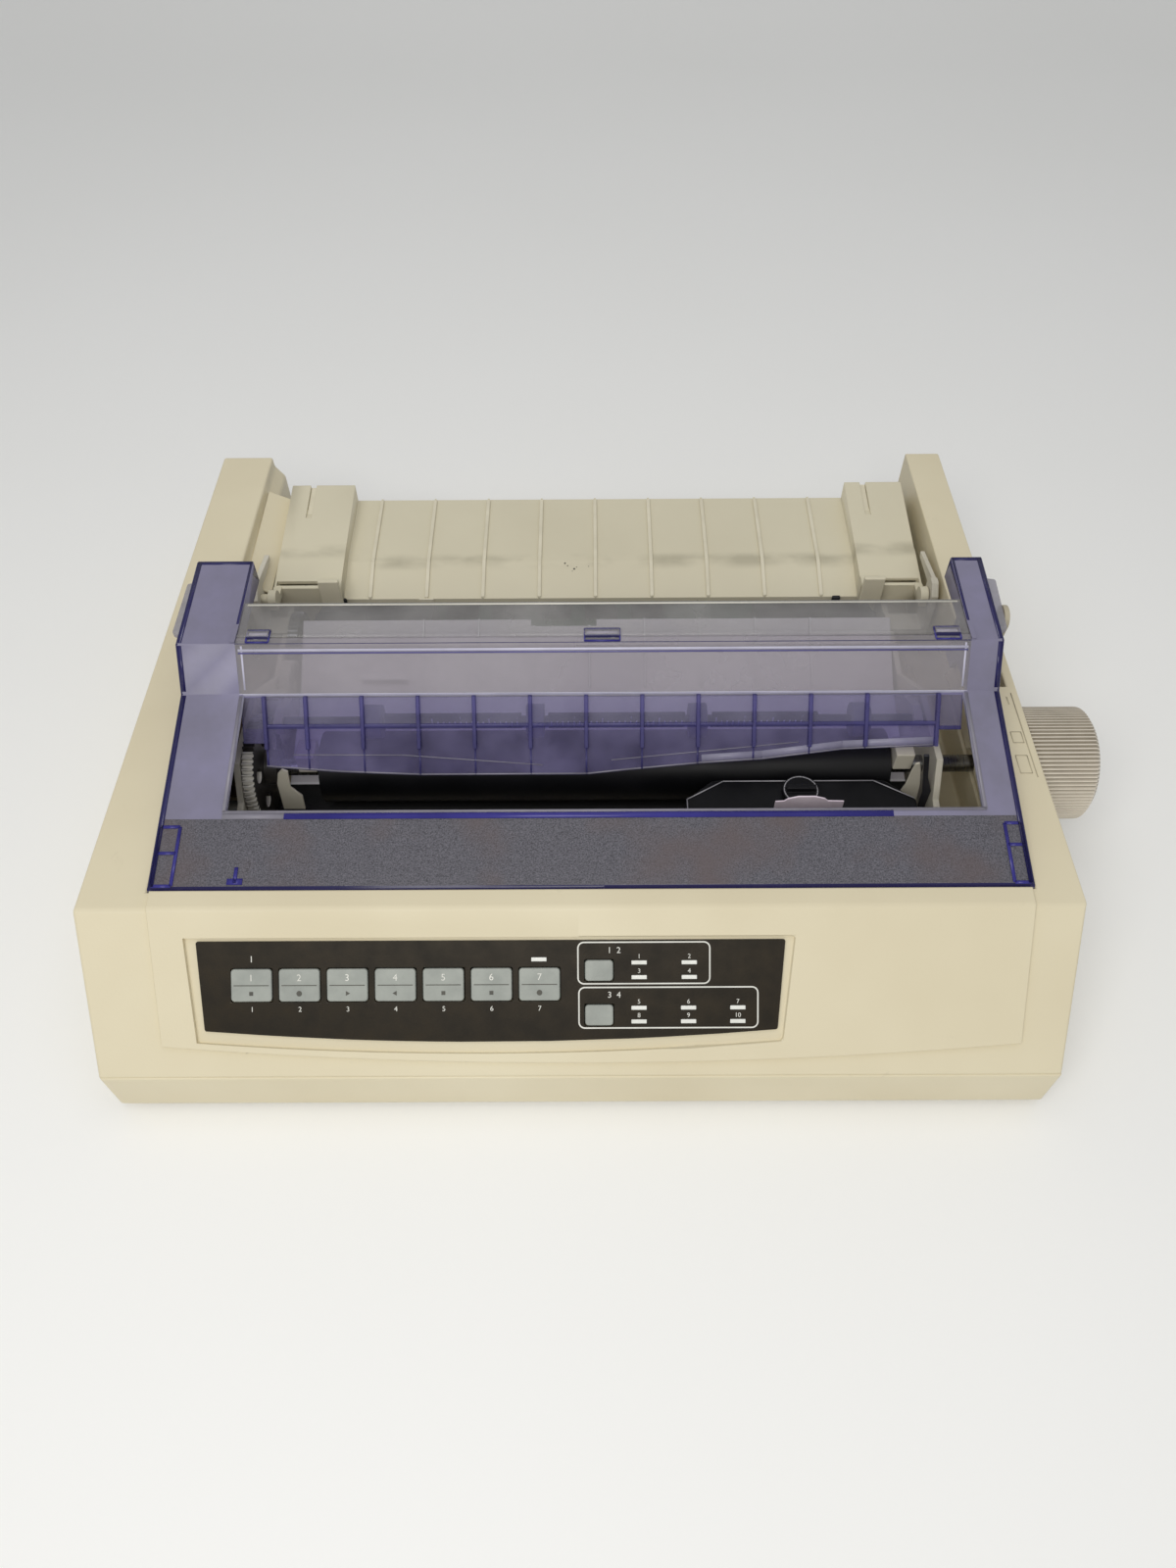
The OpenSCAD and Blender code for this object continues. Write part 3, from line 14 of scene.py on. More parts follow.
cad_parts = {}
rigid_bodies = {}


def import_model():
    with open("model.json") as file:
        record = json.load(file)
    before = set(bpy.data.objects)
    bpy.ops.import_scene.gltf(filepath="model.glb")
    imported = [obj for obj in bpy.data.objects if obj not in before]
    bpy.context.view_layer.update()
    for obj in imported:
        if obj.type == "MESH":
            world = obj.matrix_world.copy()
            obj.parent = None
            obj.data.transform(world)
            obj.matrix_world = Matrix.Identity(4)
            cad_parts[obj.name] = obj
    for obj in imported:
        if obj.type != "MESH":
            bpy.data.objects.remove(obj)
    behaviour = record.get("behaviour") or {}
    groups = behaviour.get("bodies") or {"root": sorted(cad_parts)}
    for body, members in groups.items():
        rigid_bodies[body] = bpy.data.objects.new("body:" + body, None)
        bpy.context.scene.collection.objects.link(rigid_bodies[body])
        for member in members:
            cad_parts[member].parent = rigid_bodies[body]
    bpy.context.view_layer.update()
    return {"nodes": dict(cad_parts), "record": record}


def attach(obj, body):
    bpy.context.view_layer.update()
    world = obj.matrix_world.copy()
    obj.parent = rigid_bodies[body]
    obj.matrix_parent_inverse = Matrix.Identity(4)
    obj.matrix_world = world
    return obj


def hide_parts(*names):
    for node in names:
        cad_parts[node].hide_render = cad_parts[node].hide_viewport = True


bl_info = {
    "name": "Dot Matrix Printer",
    "version": (1, 0, 0),
    "blender": (4, 5, 0),
    "location": "View3D > Sidebar > Printer",
    "description": "Builds a desktop dot matrix printer on its packed frame",
    "category": "Object",
}

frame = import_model()
NODES = frame["nodes"]
BODY = {n: b for b, ns in frame["record"]["behaviour"]["bodies"].items() for n in ns}

# The case's own coordinates in millimetres: X = 0 its middle, Y = 0 its front edge
MID_X, MID_Y = 16.0, 172.5
# Slanted front: its depth in plan, the deck's height and the slope
FRONT_RUN, DECK_Z = 51.4, 72.0
SLOPE = math.atan2(43.5, 51.4)
SLOPE_OUT = (0, -math.sin(SLOPE), math.cos(SLOPE))
# Access cover: its ends, then front edge, lower fold, upper fold and rear edge
COVER_X = (-171.2, 180.2)
COVER_Y = (59.8, 145.6, 158.3, 206.3)
COVER_Z = (74.0, 93.8, 111.3, 115.2)
# Where its slope, its riser and its plateau face
COVER_OUT, RISER_OUT, TOP_OUT = ((0, COVER_Z[k] - COVER_Z[k + 1], COVER_Y[k + 1] - COVER_Y[k])
                                 for k in range(3))
# The cover between its two towers, its window's ends and front, and the frosted band's rear
INNER_X = (-145.7, 166.0)
WINDOW_X, WINDOW_Y = (-144.2, 164.7), 92.2
FROST_Y = 89.0
# Tear guard: how it leans, its ends and its root under the lower fold
GUARD_TILT = math.atan2(28, 24)
GUARD_OUT = (0, -math.sin(GUARD_TILT), math.cos(GUARD_TILT))
GUARD_X = (-136.2, 154.8)
GUARD_Y, GUARD_Z = 146.8, 92.6
# Large keys: the first, the distance between two and their place down the slope
KEY_X, KEY_PITCH, KEY_S = -128.4, 18.8, 29.7
# Left end of the control panel's recess, and the platen's axis
RECESS_X = -155.0
AXIS_Y, AXIS_Z = 146.0, 43.5
# CAD nodes that rays have been cast at
SHAPES = {}


# ---------------------------------------------------------------- small helpers

def linear(hex_colour):
    """A colour written as sRGB hex, as the linear values that Blender works in."""
    values = []
    for k in (1, 3, 5):
        c = int(hex_colour[k:k + 2], 16) / 255
        values.append(c / 12.92 if c <= 0.04045 else ((c + 0.055) / 1.055) ** 2.4)
    return (*values, 1.0)


def at(x, y, z):
    """A point given in the case's millimetres, in the frame's metres."""
    return Vector(((x - MID_X) / 1000, (y - MID_Y) / 1000, z / 1000))


def case_mm(v):
    """A point of the frame in the case's millimetres."""
    return Vector((v[0] * 1000 + MID_X, v[1] * 1000 + MID_Y, v[2] * 1000))


def on_slope(x, s, up=0.0):
    """A point on the slanted front, s down the slope and up out of it."""
    return at(x, FRONT_RUN - s * math.cos(SLOPE) - up * math.sin(SLOPE),
              DECK_Z - s * math.sin(SLOPE) + up * math.cos(SLOPE))


def slope_matrix(x, s, up):
    """Turns and moves something drawn flat, in metres, onto the slanted front."""
    return Matrix.Translation(on_slope(x, s, up)) @ Matrix.Rotation(SLOPE, 4, "X")


def on_cover(x, y):
    """A point just above the cover's slope."""
    return x, y, COVER_Z[0] - (y - COVER_Y[0]) * COVER_OUT[1] / COVER_OUT[2] + 0.05


def on_top(x, y):
    """A point just above the cover's plateau."""
    return x, y, COVER_Z[2] - (y - COVER_Y[2]) * TOP_OUT[1] / TOP_OUT[2] + 0.05


def on_guard(x, length, up=1.05):
    """A point on the tear guard, length down from its root and up out of it."""
    return (x, GUARD_Y - length * math.cos(GUARD_TILT) - up * math.sin(GUARD_TILT),
            GUARD_Z - length * math.sin(GUARD_TILT) + up * math.cos(GUARD_TILT))


# ------------------------------------------------------------------ shader nodes

def add(tree, kind, inputs=(), **settings):
    """Adds one node to a tree, with its settings, and its inputs as values or links."""
    node = tree.nodes.new("ShaderNode" + kind)
    for name, value in settings.items():
        setattr(node, name, value)
    for key, value in dict(inputs).items():
        socket = node.inputs[key]
        if isinstance(value, bpy.types.NodeSocket):
            tree.links.new(value, socket)
        else:
            socket.default_value = value
    return node


def noise(tree, place, scale, detail=2.0, rough=0.5, warp=0.0):
    return add(tree, "TexNoise", {"Vector": place, "Scale": scale, "Detail": detail,
                                  "Roughness": rough, "Distortion": warp}).outputs["Fac"]


def ramp(tree, value, low, high, start=0.0, end=1.0, **settings):
    return add(tree, "MapRange", {0: value, 1: low, 2: high, 3: start, 4: end},
               **settings).outputs[0]


def blend(tree, share, a, b, **settings):
    """Mixes two colours, each a socket or a value."""
    return add(tree, "Mix", {0: share, 6: a, 7: b}, data_type="RGBA", **settings).outputs[2]


def math_of(tree, operation, *values):
    return add(tree, "Math", enumerate(values), operation=operation).outputs[0]


def skin(tree, tone, rough, height, distance, strength=1.0, **more):
    """A surface with a fine relief, distance metres deep."""
    bump = add(tree, "Bump", {"Height": height, "Strength": strength, "Distance": distance})
    inputs = {"Base Color": tone, "Roughness": rough, "Normal": bump.outputs[0]}
    inputs.update((key.replace("_", " "), value) for key, value in more.items())
    return add(tree, "BsdfPrincipled", inputs).outputs[0]


def tint(colour):
    """A colour given as sRGB hex or by the name of one of the panel's properties."""
    return linear(colour) if colour[0] == "#" else tuple(getattr(colours(), colour))


# --------------------------------------------------------------------- surfaces

def moulded(tree, place, colour, shade, rough, patch, grain, depth, gloss=0.5, streak=0.0,
            streak_colour="#8A8270"):
    """Moulded plastic: a broad drift between two tones and the fine spark-eroded grain of
    its mould. Sizes are in millimetres. streak adds grubby marks."""
    drift = noise(tree, place, 1000 / patch, 3.0, 0.55)
    tone = blend(tree, ramp(tree, drift, 0.32, 0.68), tint(colour), tint(shade))
    if streak:
        marks = noise(tree, place, 95.0, 6.0, 0.7, 0.6)
        tone = blend(tree, ramp(tree, marks, 0.66, 0.78, 0.0, streak), tone,
                     linear(streak_colour))
    worn = ramp(tree, drift, 0.3, 0.7, rough - 0.06, rough + 0.06)
    return skin(tree, tone, worn, noise(tree, place, 1000 / grain), depth / 1000,
                Specular_IOR_Level=gloss)


def metal(tree, place, colour, rough, stretch, scale=60.0):
    """Bare or plated metal with the fine lines that turning, rolling or grinding leaves,
    stretched along one axis."""
    along = add(tree, "Mapping", {"Vector": place, "Scale": stretch}).outputs[0]
    lines = noise(tree, along, scale, 4.0)
    worn = ramp(tree, lines, 0.3, 0.7, rough - 0.1, rough + 0.1)
    tone = blend(tree, lines, linear(colour), linear("#6F6E6C"), blend_type="MULTIPLY")
    return skin(tree, tone, worn, lines, 0.00001, 0.6, Metallic=1.0)


def see_through(tree, place, film, through, solid, rough, patch, wisp=0.08, second=None):
    """Clear or tinted polycarbonate a couple of millimetres thick. through is what it lets
    pass, film the cloudy colour of its skin, and solid the share of that."""
    drift = noise(tree, place, 1000 / patch, 4.0, 0.6)
    share = ramp(tree, drift, 0.3, 0.7, solid - wisp, solid + wisp)
    tone = blend(tree, drift, linear(film), linear(second or film))
    cloudy = skin(tree, tone, rough, noise(tree, place, 2000.0), 0.000004)
    clear = add(tree, "BsdfTransparent", {"Color": linear(through)}).outputs[0]
    return add(tree, "MixShader", {0: share, 1: clear, 2: cloudy}).outputs[0]


def frosted(tree, place):
    """Textured polycarbonate over a dark lining. The eye gets a grey that sparkles like
    fine sandpaper, with brownish smudges where hands have been. The grain is drawn at
    0.6 mm, coarser than the real 0.3 mm, so that it shows."""
    grit = noise(tree, place, 1700.0, 3.0, 0.75)
    tone = blend(tree, ramp(tree, grit, 0.33, 0.68), linear("#2F2E35"), linear("#716F78"))
    brown = ramp(tree, noise(tree, place, 24.0, 3.0), 0.5, 0.66, 0.0, 0.7)
    tone = blend(tree, brown, tone, linear("#5D5050"))
    return skin(tree, tone, 0.42, grit, 0.00012)


def sooty(tree, place):
    """The case's ABS, greyer, with soot that paper dust has left along the crease of the
    paper path, and a few dark specks."""
    tone = blend(tree, noise(tree, place, 14.0, 4.0), linear("#DED7BE"), linear("#D0C8AF"))
    # The crease runs along X at Y = 101.5 mm; the soot lies 5 mm to either side of it
    y = add(tree, "SeparateXYZ", {0: place}).outputs["Y"]
    off = math_of(tree, "ABSOLUTE", math_of(tree, "SUBTRACT", y, 0.1015))
    band = ramp(tree, off, 0.001, 0.0065, 0.42, 0.0, interpolation_type="SMOOTHSTEP")
    wide = add(tree, "Mapping", {"Vector": place, "Scale": (30, 60, 30)}).outputs[0]
    patchy = ramp(tree, noise(tree, wide, 1.0, 3.0), 0.4, 0.62)
    tone = blend(tree, math_of(tree, "MULTIPLY", band, patchy), tone, linear("#857F68"))
    dots = add(tree, "TexVoronoi", {"Vector": place, "Scale": 120.0}).outputs["Distance"]
    spot = ramp(tree, dots, 0.05, 0.09, 1.0, 0.0)
    rare = ramp(tree, noise(tree, place, 19.0), 0.64, 0.68)
    tone = blend(tree, math_of(tree, "MULTIPLY", spot, rare), tone, linear("#4A463C"))
    return skin(tree, tone, 0.5, noise(tree, place, 1500.0), 0.00002)


def backdrop(tree, place):
    """Paper of the sweep: an even, dull white."""
    tone = blend(tree, noise(tree, place, 3.0), linear("#FBFBFA"), linear("#F7F7F5"))
    return add(tree, "BsdfPrincipled", {"Base Color": tone, "Roughness": 0.8}).outputs[0]


# Colour, second tone, roughness, then in millimetres the patches, the grain and its depth;
# where they differ from the usual, gloss, strength of the grubby marks and their colour
MOULDED = {
    # ABS, spark-eroded mould, gone a little yellow: warm satin cream, clouds, grubby marks
    "moulded_abs_aged_cream": ("case", "case_shade", 0.46, 90, 0.9, 0.03, 0.5, 0.12),
    # The same, darker, as painted shade on raised outlines and for scuffs; lighter, as a
    # painted highlight on rib crowns; and the lever's greyer one
    "moulded_abs_dusty": ("#BDB397", "#B0A68A", 0.6, 12, 0.7, 0.02),
    "moulded_abs_rubbed": ("#E2DBC4", "#D6CFB8", 0.42, 14, 0.7, 0.02),
    "moulded_abs_lever": ("#BDB49D", "#B0A78F", 0.5, 12, 0.7, 0.02),
    # ABS in a grey-brown; its grooves are painted darker as shade
    "moulded_abs_grey_brown": ("knob", "#D2C9BA", 0.5, 25, 0.7, 0.02, 0.5, 0.1),
    "moulded_abs_greasy_groove": ("#A89F90", "#968D7E", 0.6, 12, 0.7, 0.02),
    # ABS with a light texture: neutral grey, a little worn
    "moulded_abs_key_grey": ("#A2A69F", "#949892", 0.42, 9, 0.6, 0.02, 0.5, 0.08, "#7C7C74"),
    # Nitrile rubber: dull black that shows dust, near black stops, an evenly ground roller
    "moulded_rubber_black": ("#222222", "#2C2B2A", 0.75, 8, 0.6, 0.04),
    "moulded_rubber_stop": ("#17171A", "#202024", 0.7, 5, 0.6, 0.03),
    "ground_rubber_black": ("#08080A", "#0D0D10", 0.45, 30, 0.8, 0.01, 0.25),
    # Silicone rubber: mid-grey, dull. Neoprene belt: matt black
    "moulded_rubber_grey": ("#86839A", "#77748A", 0.6, 8, 0.6, 0.02),
    "neoprene_black": ("#181818", "#202020", 0.7, 10, 0.6, 0.03),
    # Polyester film printed from behind: very dark brown, satin, finely pebbled
    "printed_polyester_film": ("overlay", "#1F190E", 0.42, 9, 0.55, 0.03, 0.22, 0.1,
                               "#5C554A"),
    # Screen-printing ink: flat off-white, dark grey, and bluish white; ribbon ink, dried
    "screen_print_ink_white": ("#E9E8E0", "#D9D8D0", 0.6, 12, 0.5, 0.01),
    "screen_print_ink_grey": ("#4C4B45", "#5A5850", 0.6, 12, 0.5, 0.01),
    "screen_print_ink_pale": ("#F2F1F6", "#E6E4EC", 0.6, 12, 0.5, 0.01),
    "dried_ink": ("#3A382F", "#47443A", 0.6, 3, 0.5, 0.01),
    # Label paper: matt, pinkish
    "label_paper_pinkish": ("#F0E2EC", "#E2D2DE", 0.7, 9, 0.6, 0.01),
    # Acrylic light guides: milky white, smooth
    "acrylic_milky_white": ("#EFEFE9", "#E2E3DC", 0.22, 5, 0.8, 0.005),
    # Rear edge of the clear flap, white: a painted highlight
    "polycarbonate_rubbed_edge": ("#E4E1D6", "#D5D2C6", 0.3, 30, 0.8, 0.01),
    # Glass-filled polycarbonate: off-white, dry and slightly speckled
    "moulded_filled_polycarbonate": ("#D8D3C4", "#C9C3B2", 0.55, 30, 0.9, 0.04),
    # Acetal: waxy white, and a dark grey for painted shade
    "moulded_acetal_white": ("#E6E3DA", "#D8D4C8", 0.35, 9, 0.8, 0.01),
    "moulded_acetal_greased": ("#2C2A28", "#3E3B37", 0.35, 9, 0.8, 0.01),
    # High-impact polystyrene: white with a cold lilac cast; painted shade on its ribs' flanks
    # and painted highlights on their crowns
    "moulded_polystyrene_lilac_white": ("#E6E2E6", "#DAD5DB", 0.4, 40, 0.9, 0.01),
    "polystyrene_dusty": ("#7F7B80", "#8B878C", 0.6, 20, 0.7, 0.02),
    "polystyrene_rubbed_white": ("#FAF8FB", "#F1EFF3", 0.35, 30, 0.8, 0.01),
    # Polystyrene: black, nearly glossy; grey for painted highlights along its edges
    "moulded_polystyrene_black": ("#08080A", "#101013", 0.34, 25, 0.9, 0.01, 0.22),
    "moulded_polystyrene_rubbed": ("#A6A4A9", "#8A888D", 0.4, 6, 0.8, 0.01),
    # Near black for the trough under the platen: painted shade
    "flocked_lining_black": ("#0B0B0C", "#111112", 0.9, 10, 0.6, 0.05),
    # Nylon and polyamide: satin black; undyed nylon: creamy
    "moulded_nylon_black": ("#232328", "#2C2C32", 0.45, 18, 0.8, 0.03),
    "moulded_polyamide_black": ("#1D1D20", "#26262A", 0.45, 12, 0.7, 0.03),
    "moulded_nylon_natural": ("#DDD6C0", "#CFC7AE", 0.45, 6, 0.6, 0.02),
    # Painted or anodised metal: black, satin
    "stoved_paint_black": ("#25242B", "#302F38", 0.35, 20, 0.7, 0.01),
    "die_cast_painted_black": ("#2B2B2E", "#35353A", 0.5, 15, 0.8, 0.04),
    "anodised_aluminium_black": ("#3A3A3E", "#46464B", 0.4, 10, 0.6, 0.02),
    # Laminate under green solder resist, chips, capacitor sleeves, varnished iron
    "fr4_solder_resist": ("#1F5A3A", "#2A6B46", 0.35, 10, 1.2, 0.02),
    "moulded_epoxy_black": ("#1B1B1D", "#232326", 0.55, 6, 0.5, 0.02),
    "pvc_sleeve_blue_black": ("#1E2436", "#272E42", 0.3, 8, 0.6, 0.01),
    "varnished_laminations": ("#5F4E3E", "#715E4B", 0.4, 12, 0.6, 0.05),
}

# Colour, roughness, stretch of the lines along each axis and, if not 60, their scale
METALS = {
    # Zinc: pale grey with a turned or a drawn sheen
    "zinc_plated_steel": ("#B4B5B6", 0.38, (20, 20, 20)),
    "zinc_plated_can": ("#A9AAAC", 0.35, (1, 30, 30)),
    # Ground steel: bright lines round the shaft; near black, as painted shade on the rails
    "ground_steel": ("#B9BABC", 0.25, (60, 1, 1)),
    "oil_blackened_steel": ("#2E2E32", 0.35, (60, 1, 1)),
    # Turned brass: warm yellow
    "turned_brass": ("#C9A85A", 0.3, (40, 1, 1)),
    # Capacitor tops, soldered legs, a connector's drawn shell: three bright greys
    "rolled_aluminium": ("#C2C4C6", 0.3, (8, 8, 8)),
    "tinned_copper": ("#C9CACB", 0.35, (10, 10, 10)),
    "nickel_plated_shell": ("#C4C5C4", 0.28, (2, 30, 30), 20.0),
}

# Film, what passes, share of the film, roughness, patch in millimetres, how much the share
# drifts, and a second film colour
POLYCARBONATES = {
    # Tinted violet-grey: a cloudy skin half hides what is under it, and the cut edges and
    # ribs gather the dye to a deep blue, which is almost black where it is thickest
    "polycarbonate_tinted_cloudy": ("#9B98A6", "#8F8BB4", 0.76, 0.3, 34, 0.12, "#8783A8"),
    "polycarbonate_tinted_clear": ("#C9C5C9", "#E2DFE4", 0.34, 0.12, 70, 0.07),
    "polycarbonate_edge_blue": ("#211E50", "#302D70", 0.92, 0.22, 20),
    "polycarbonate_edge_deep": ("#25225A", "#302C70", 0.92, 0.25, 25),
    "polycarbonate_rib_deep_blue": ("#37338C", "#423E98", 0.86, 0.25, 25, 0.1),
    "polycarbonate_edge_violet": ("#7572AC", "#8F8CC0", 0.75, 0.15, 25),
    # Painted highlights: lilac where creases catch the light, grey along rims
    "polycarbonate_crease_lilac": ("#E2E0F4", "#D4D1F0", 0.78, 0.2, 20),
    "polycarbonate_rim_rubbed": ("#A3A0AC", "#B5B2C2", 0.7, 0.3, 20),
    # The tear guard: thin violet film, thinner still below, with bluer ribs, a pale edge
    "polycarbonate_tinted_violet": ("#A9A6BE", "#D6D3E8", 0.27, 0.16, 30),
    "polycarbonate_tinted_violet_thin": ("#A49EC6", "#D0CBE8", 0.2, 0.16, 25, 0.09),
    "polycarbonate_rib_blue": ("#66629C", "#8D8AC4", 0.42, 0.2, 20),
    "polycarbonate_edge_pale": ("#C4C1D6", "#D8D5E8", 0.45, 0.15, 20),
    # Clear, flame-bright, hazed by handling
    "polycarbonate_clear_hazed": ("#BCBAB8", "#E2E1E4", 0.3, 0.08, 55, 0.14),
    "polycarbonate_clear_edge": ("#D2D0C4", "#C4C4B6", 0.75, 0.15, 20),
    "polycarbonate_grip_hazed": ("#B9B7BC", "#D9D8E2", 0.5, 0.25, 12),
}

KINDS = ((moulded, MOULDED), (metal, METALS), (see_through, POLYCARBONATES),
         (frosted, {"frosted_polycarbonate_grainy": ()}), (sooty, {"moulded_abs_sooty": ()}),
         (backdrop, {"seamless_paper": ()}))


def material(name):
    """The material of that name from the tables above, made once. Object coordinates keep
    its pattern at its real size."""
    mat = bpy.data.materials.get(name)
    if mat is None:
        mat = bpy.data.materials.new(name)
        mat.use_nodes = True
        tree = mat.node_tree
        tree.nodes.clear()
        end = add(tree, "OutputMaterial")
        place = add(tree, "TexCoord").outputs["Object"]
        surface, table = next(kind for kind in KINDS if name in kind[1])
        tree.links.new(surface(tree, place, *table[name]), end.inputs["Surface"])
    return mat


# ----------------------------------------------------------------- mesh helpers

def split(bm, cuts):
    """Cuts faces across planes, each an axis and a place in the case's millimetres."""
    for axis, place in cuts:
        bmesh.ops.bisect_plane(bm, geom=bm.verts[:] + bm.edges[:] + bm.faces[:],
                               plane_co=at(place, place, place), dist=0.00001,
                               plane_no=(axis == "X", axis == "Y", axis == "Z"))


def flattened(bm, degrees):
    """Joins faces that lie within so many degrees of one another."""
    bmesh.ops.dissolve_limit(bm, angle_limit=math.radians(degrees), verts=bm.verts,
                             edges=bm.edges, use_dissolve_boundaries=False)


def merged(node, cuts=()):
    """A bmesh copy of a CAD node with its loose triangles joined into flat faces. A face
    that runs round a hole is cut, so that it stays a plain outline."""
    bm = bmesh.new()
    bm.from_mesh(NODES[node].data)
    bmesh.ops.remove_doubles(bm, verts=bm.verts, dist=0.00001)
    flattened(bm, 0.4)
    split(bm, cuts)
    return bm


def bevelled(bm, geom, offset, segments, affect="EDGES", clamp=True):
    """Rounds some edges, or corners, for good. offset is in millimetres."""
    return bmesh.ops.bevel(bm, geom=geom, offset=offset / 1000, segments=segments,
                           profile=0.5, affect=affect, clamp_overlap=clamp,
                           material=-1)["faces"]


def points_of(node):
    """The corners of a CAD node, in the case's millimetres."""
    return [case_mm(v.co) for v in NODES[node].data.vertices]


def middle(face):
    """The middle of a face, in the case's millimetres."""
    return case_mm(face.calc_center_median())


def longest_edge(face):
    return max(e.calc_length() for e in face.edges)


def width_of(face):
    return face.calc_area() / longest_edge(face)


def room_for(edge):
    """How far an edge can be rounded before the round runs into its neighbours."""
    room = 1.0
    for face in edge.link_faces:
        room = min(room, face.calc_area() / max(edge.calc_length(), 1e-6))
        for other in face.edges:
            if other is not edge and set(other.verts) & set(edge.verts):
                room = min(room, other.calc_length())
    return room


def mark_edges(bm, radius, sharp):
    """Sets how much each edge of more than sharp degrees is rounded. The rest stay crisp,
    as do those with no room for a round of 0.12 mm."""
    weights = bm.edges.layers.float.get("bevel_weight_edge")
    weights = weights or bm.edges.layers.float.new("bevel_weight_edge")
    for edge in bm.edges:
        edge[weights] = 0.0
        if len(edge.link_faces) != 2 or edge.calc_face_angle(0) < math.radians(sharp):
            continue
        fits = min(radius, 0.32 * room_for(edge))
        if fits < 0.00012:
            edge.smooth = False
        else:
            edge[weights] = fits / radius


def piece(name, bm, materials, on, radius=0.0, rounds=2, sharp=28.0, instead=False):
    """Makes a bmesh a finished piece that rides on a CAD node's body, or takes the node's
    place. A radius, in millimetres, rounds its edges of more than sharp degrees."""
    radius /= 1000
    if radius and sharp:
        mark_edges(bm, radius, sharp)
    mesh = bpy.data.meshes.new(name)
    for face in bm.faces:
        face.smooth = True
    bm.to_mesh(mesh)
    bm.free()
    obj = bpy.data.objects.new(name, mesh)
    bpy.context.scene.collection.objects.link(obj)
    for mat in materials.split():
        mesh.materials.append(material(mat))
    if radius:
        soft = obj.modifiers.new("soft_edges", "BEVEL")
        soft.width = radius
        soft.segments = rounds
        soft.limit_method = "WEIGHT"
        soft.use_clamp_overlap = False
        soft.profile = 0.5
        flat = obj.modifiers.new("flat_faces", "WEIGHTED_NORMAL")
        flat.keep_sharp = True
        flat.weight = 60
    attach(obj, BODY[on])
    if instead:
        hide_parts(on)


def softened(node, mat, radius=0.4, rounds=2, sharp=28.0, cuts=(), corner=0.0):
    """A CAD node's own shape with rounded edges, in its place. radius in millimetres, as
    is corner, for the edges that stand square on the slanted front."""
    bm = merged(node, cuts)
    if corner:
        flattened(bm, 1.5)
        out = Vector(SLOPE_OUT)
        posts = [e for e in bm.edges if len(e.link_faces) == 2 and e.calc_face_angle(0) > 1
                 and abs((e.verts[1].co - e.verts[0].co).normalized().dot(out)) > 0.999]
        bevelled(bm, posts, corner, 5)
    piece(node + "_soft", bm, mat, node, radius, rounds, sharp, True)


def keycap(node, x, s, wide, high):
    """A key with rounded corners and a soft rim in the place of the CAD's stepped block, on
    the same stem. Position and size in millimetres on the slanted front."""
    base = slope_matrix(x, s, 0)
    back = base.inverted()
    levels = [(back @ v.co).z for v in NODES[node].data.vertices]
    low, foot, top = min(levels), -0.0025, max(levels)
    bm = bmesh.new()
    bmesh.ops.create_cube(bm, size=1.0, matrix=base @ Matrix.Translation(
        (0, 0, (top + foot) / 2)) @ Matrix.Diagonal((wide / 1000, high / 1000, top - foot, 1)))
    # First the four upright corners, then the rim of the crown
    for upright, offset, segments, least in ((True, 1.4, 6, foot - 0.001),
                                             (False, 0.6, 4, top - 0.0001)):
        ends = [(e, sorted((back @ v.co).z for v in e.verts)) for e in bm.edges]
        picked = [e for e, (a, b) in ends if a > least and (b - a > 0.001) == upright]
        bevelled(bm, picked, offset, segments)
    bmesh.ops.create_cone(bm, cap_ends=True, segments=32, radius1=0.0022, radius2=0.0022,
                          depth=foot - low,
                          matrix=base @ Matrix.Translation((0, 0, (foot + low) / 2)))
    piece(node + "_cap", bm, "moulded_abs_key_grey", node, 0.1, 1, 0, True)


def calm_rounds(passes=4):
    """Leaves an edge crisp where its round would fold a neighbouring face over itself."""
    for _ in range(passes):
        graph = bpy.context.evaluated_depsgraph_get()
        folded = 0
        for obj in bpy.context.scene.objects:
            if "soft_edges" not in obj.modifiers:
                continue
            shown = obj.evaluated_get(graph).to_mesh()
            shown.calc_loop_triangles()
            area = [0.0] * len(shown.polygons)
            for t in shown.loop_triangles:
                area[t.polygon_index] += t.area
            # The triangles of a folded face cover more than the face itself
            corners = [shown.vertices[k].co.copy() for p in shown.polygons
                       if area[p.index] > 1.03 * p.area + 3e-7 for k in p.vertices]
            if not corners:
                continue
            folded += 1
            reach = 1.6 * obj.modifiers["soft_edges"].width
            tree = KDTree(len(obj.data.vertices))
            for v in obj.data.vertices:
                tree.insert(v.co, v.index)
            tree.balance()
            near = {k for c in corners for _, k, _ in tree.find_range(c, reach)}
            weights = obj.data.attributes["bevel_weight_edge"].data
            for e in obj.data.edges:
                if weights[e.index].value > 0 and near & set(e.vertices):
                    weights[e.index].value = 0.0
                    e.use_edge_sharp = True
        if not folded:
            return


def paint(nodes, mat):
    """Gives CAD nodes that keep their shape a better finish."""
    for node in nodes.split():
        slots = NODES[node].material_slots
        for slot in slots:
            slot.material = material(mat)
        if not slots:
            NODES[node].data.materials.append(material(mat))


def above(node, x, y):
    """The highest point of a CAD node at x, y, in the case's millimetres."""
    if node not in SHAPES:
        bm = merged(node)
        SHAPES[node] = BVHTree.FromBMesh(bm)
        bm.free()
    return tuple(case_mm(SHAPES[node].ray_cast(at(x, y, 500), Vector((0, 0, -1)))[0]))


def boxes(*corners):
    """A bmesh of boxes, each between two corners in the case's millimetres."""
    bm = bmesh.new()
    for a, b in corners:
        lo, hi = at(*a), at(*b)
        size = Matrix.Diagonal((*(hi - lo), 1.0))
        bmesh.ops.create_cube(bm, size=1.0, matrix=Matrix.Translation((lo + hi) / 2) @ size)
    return bm


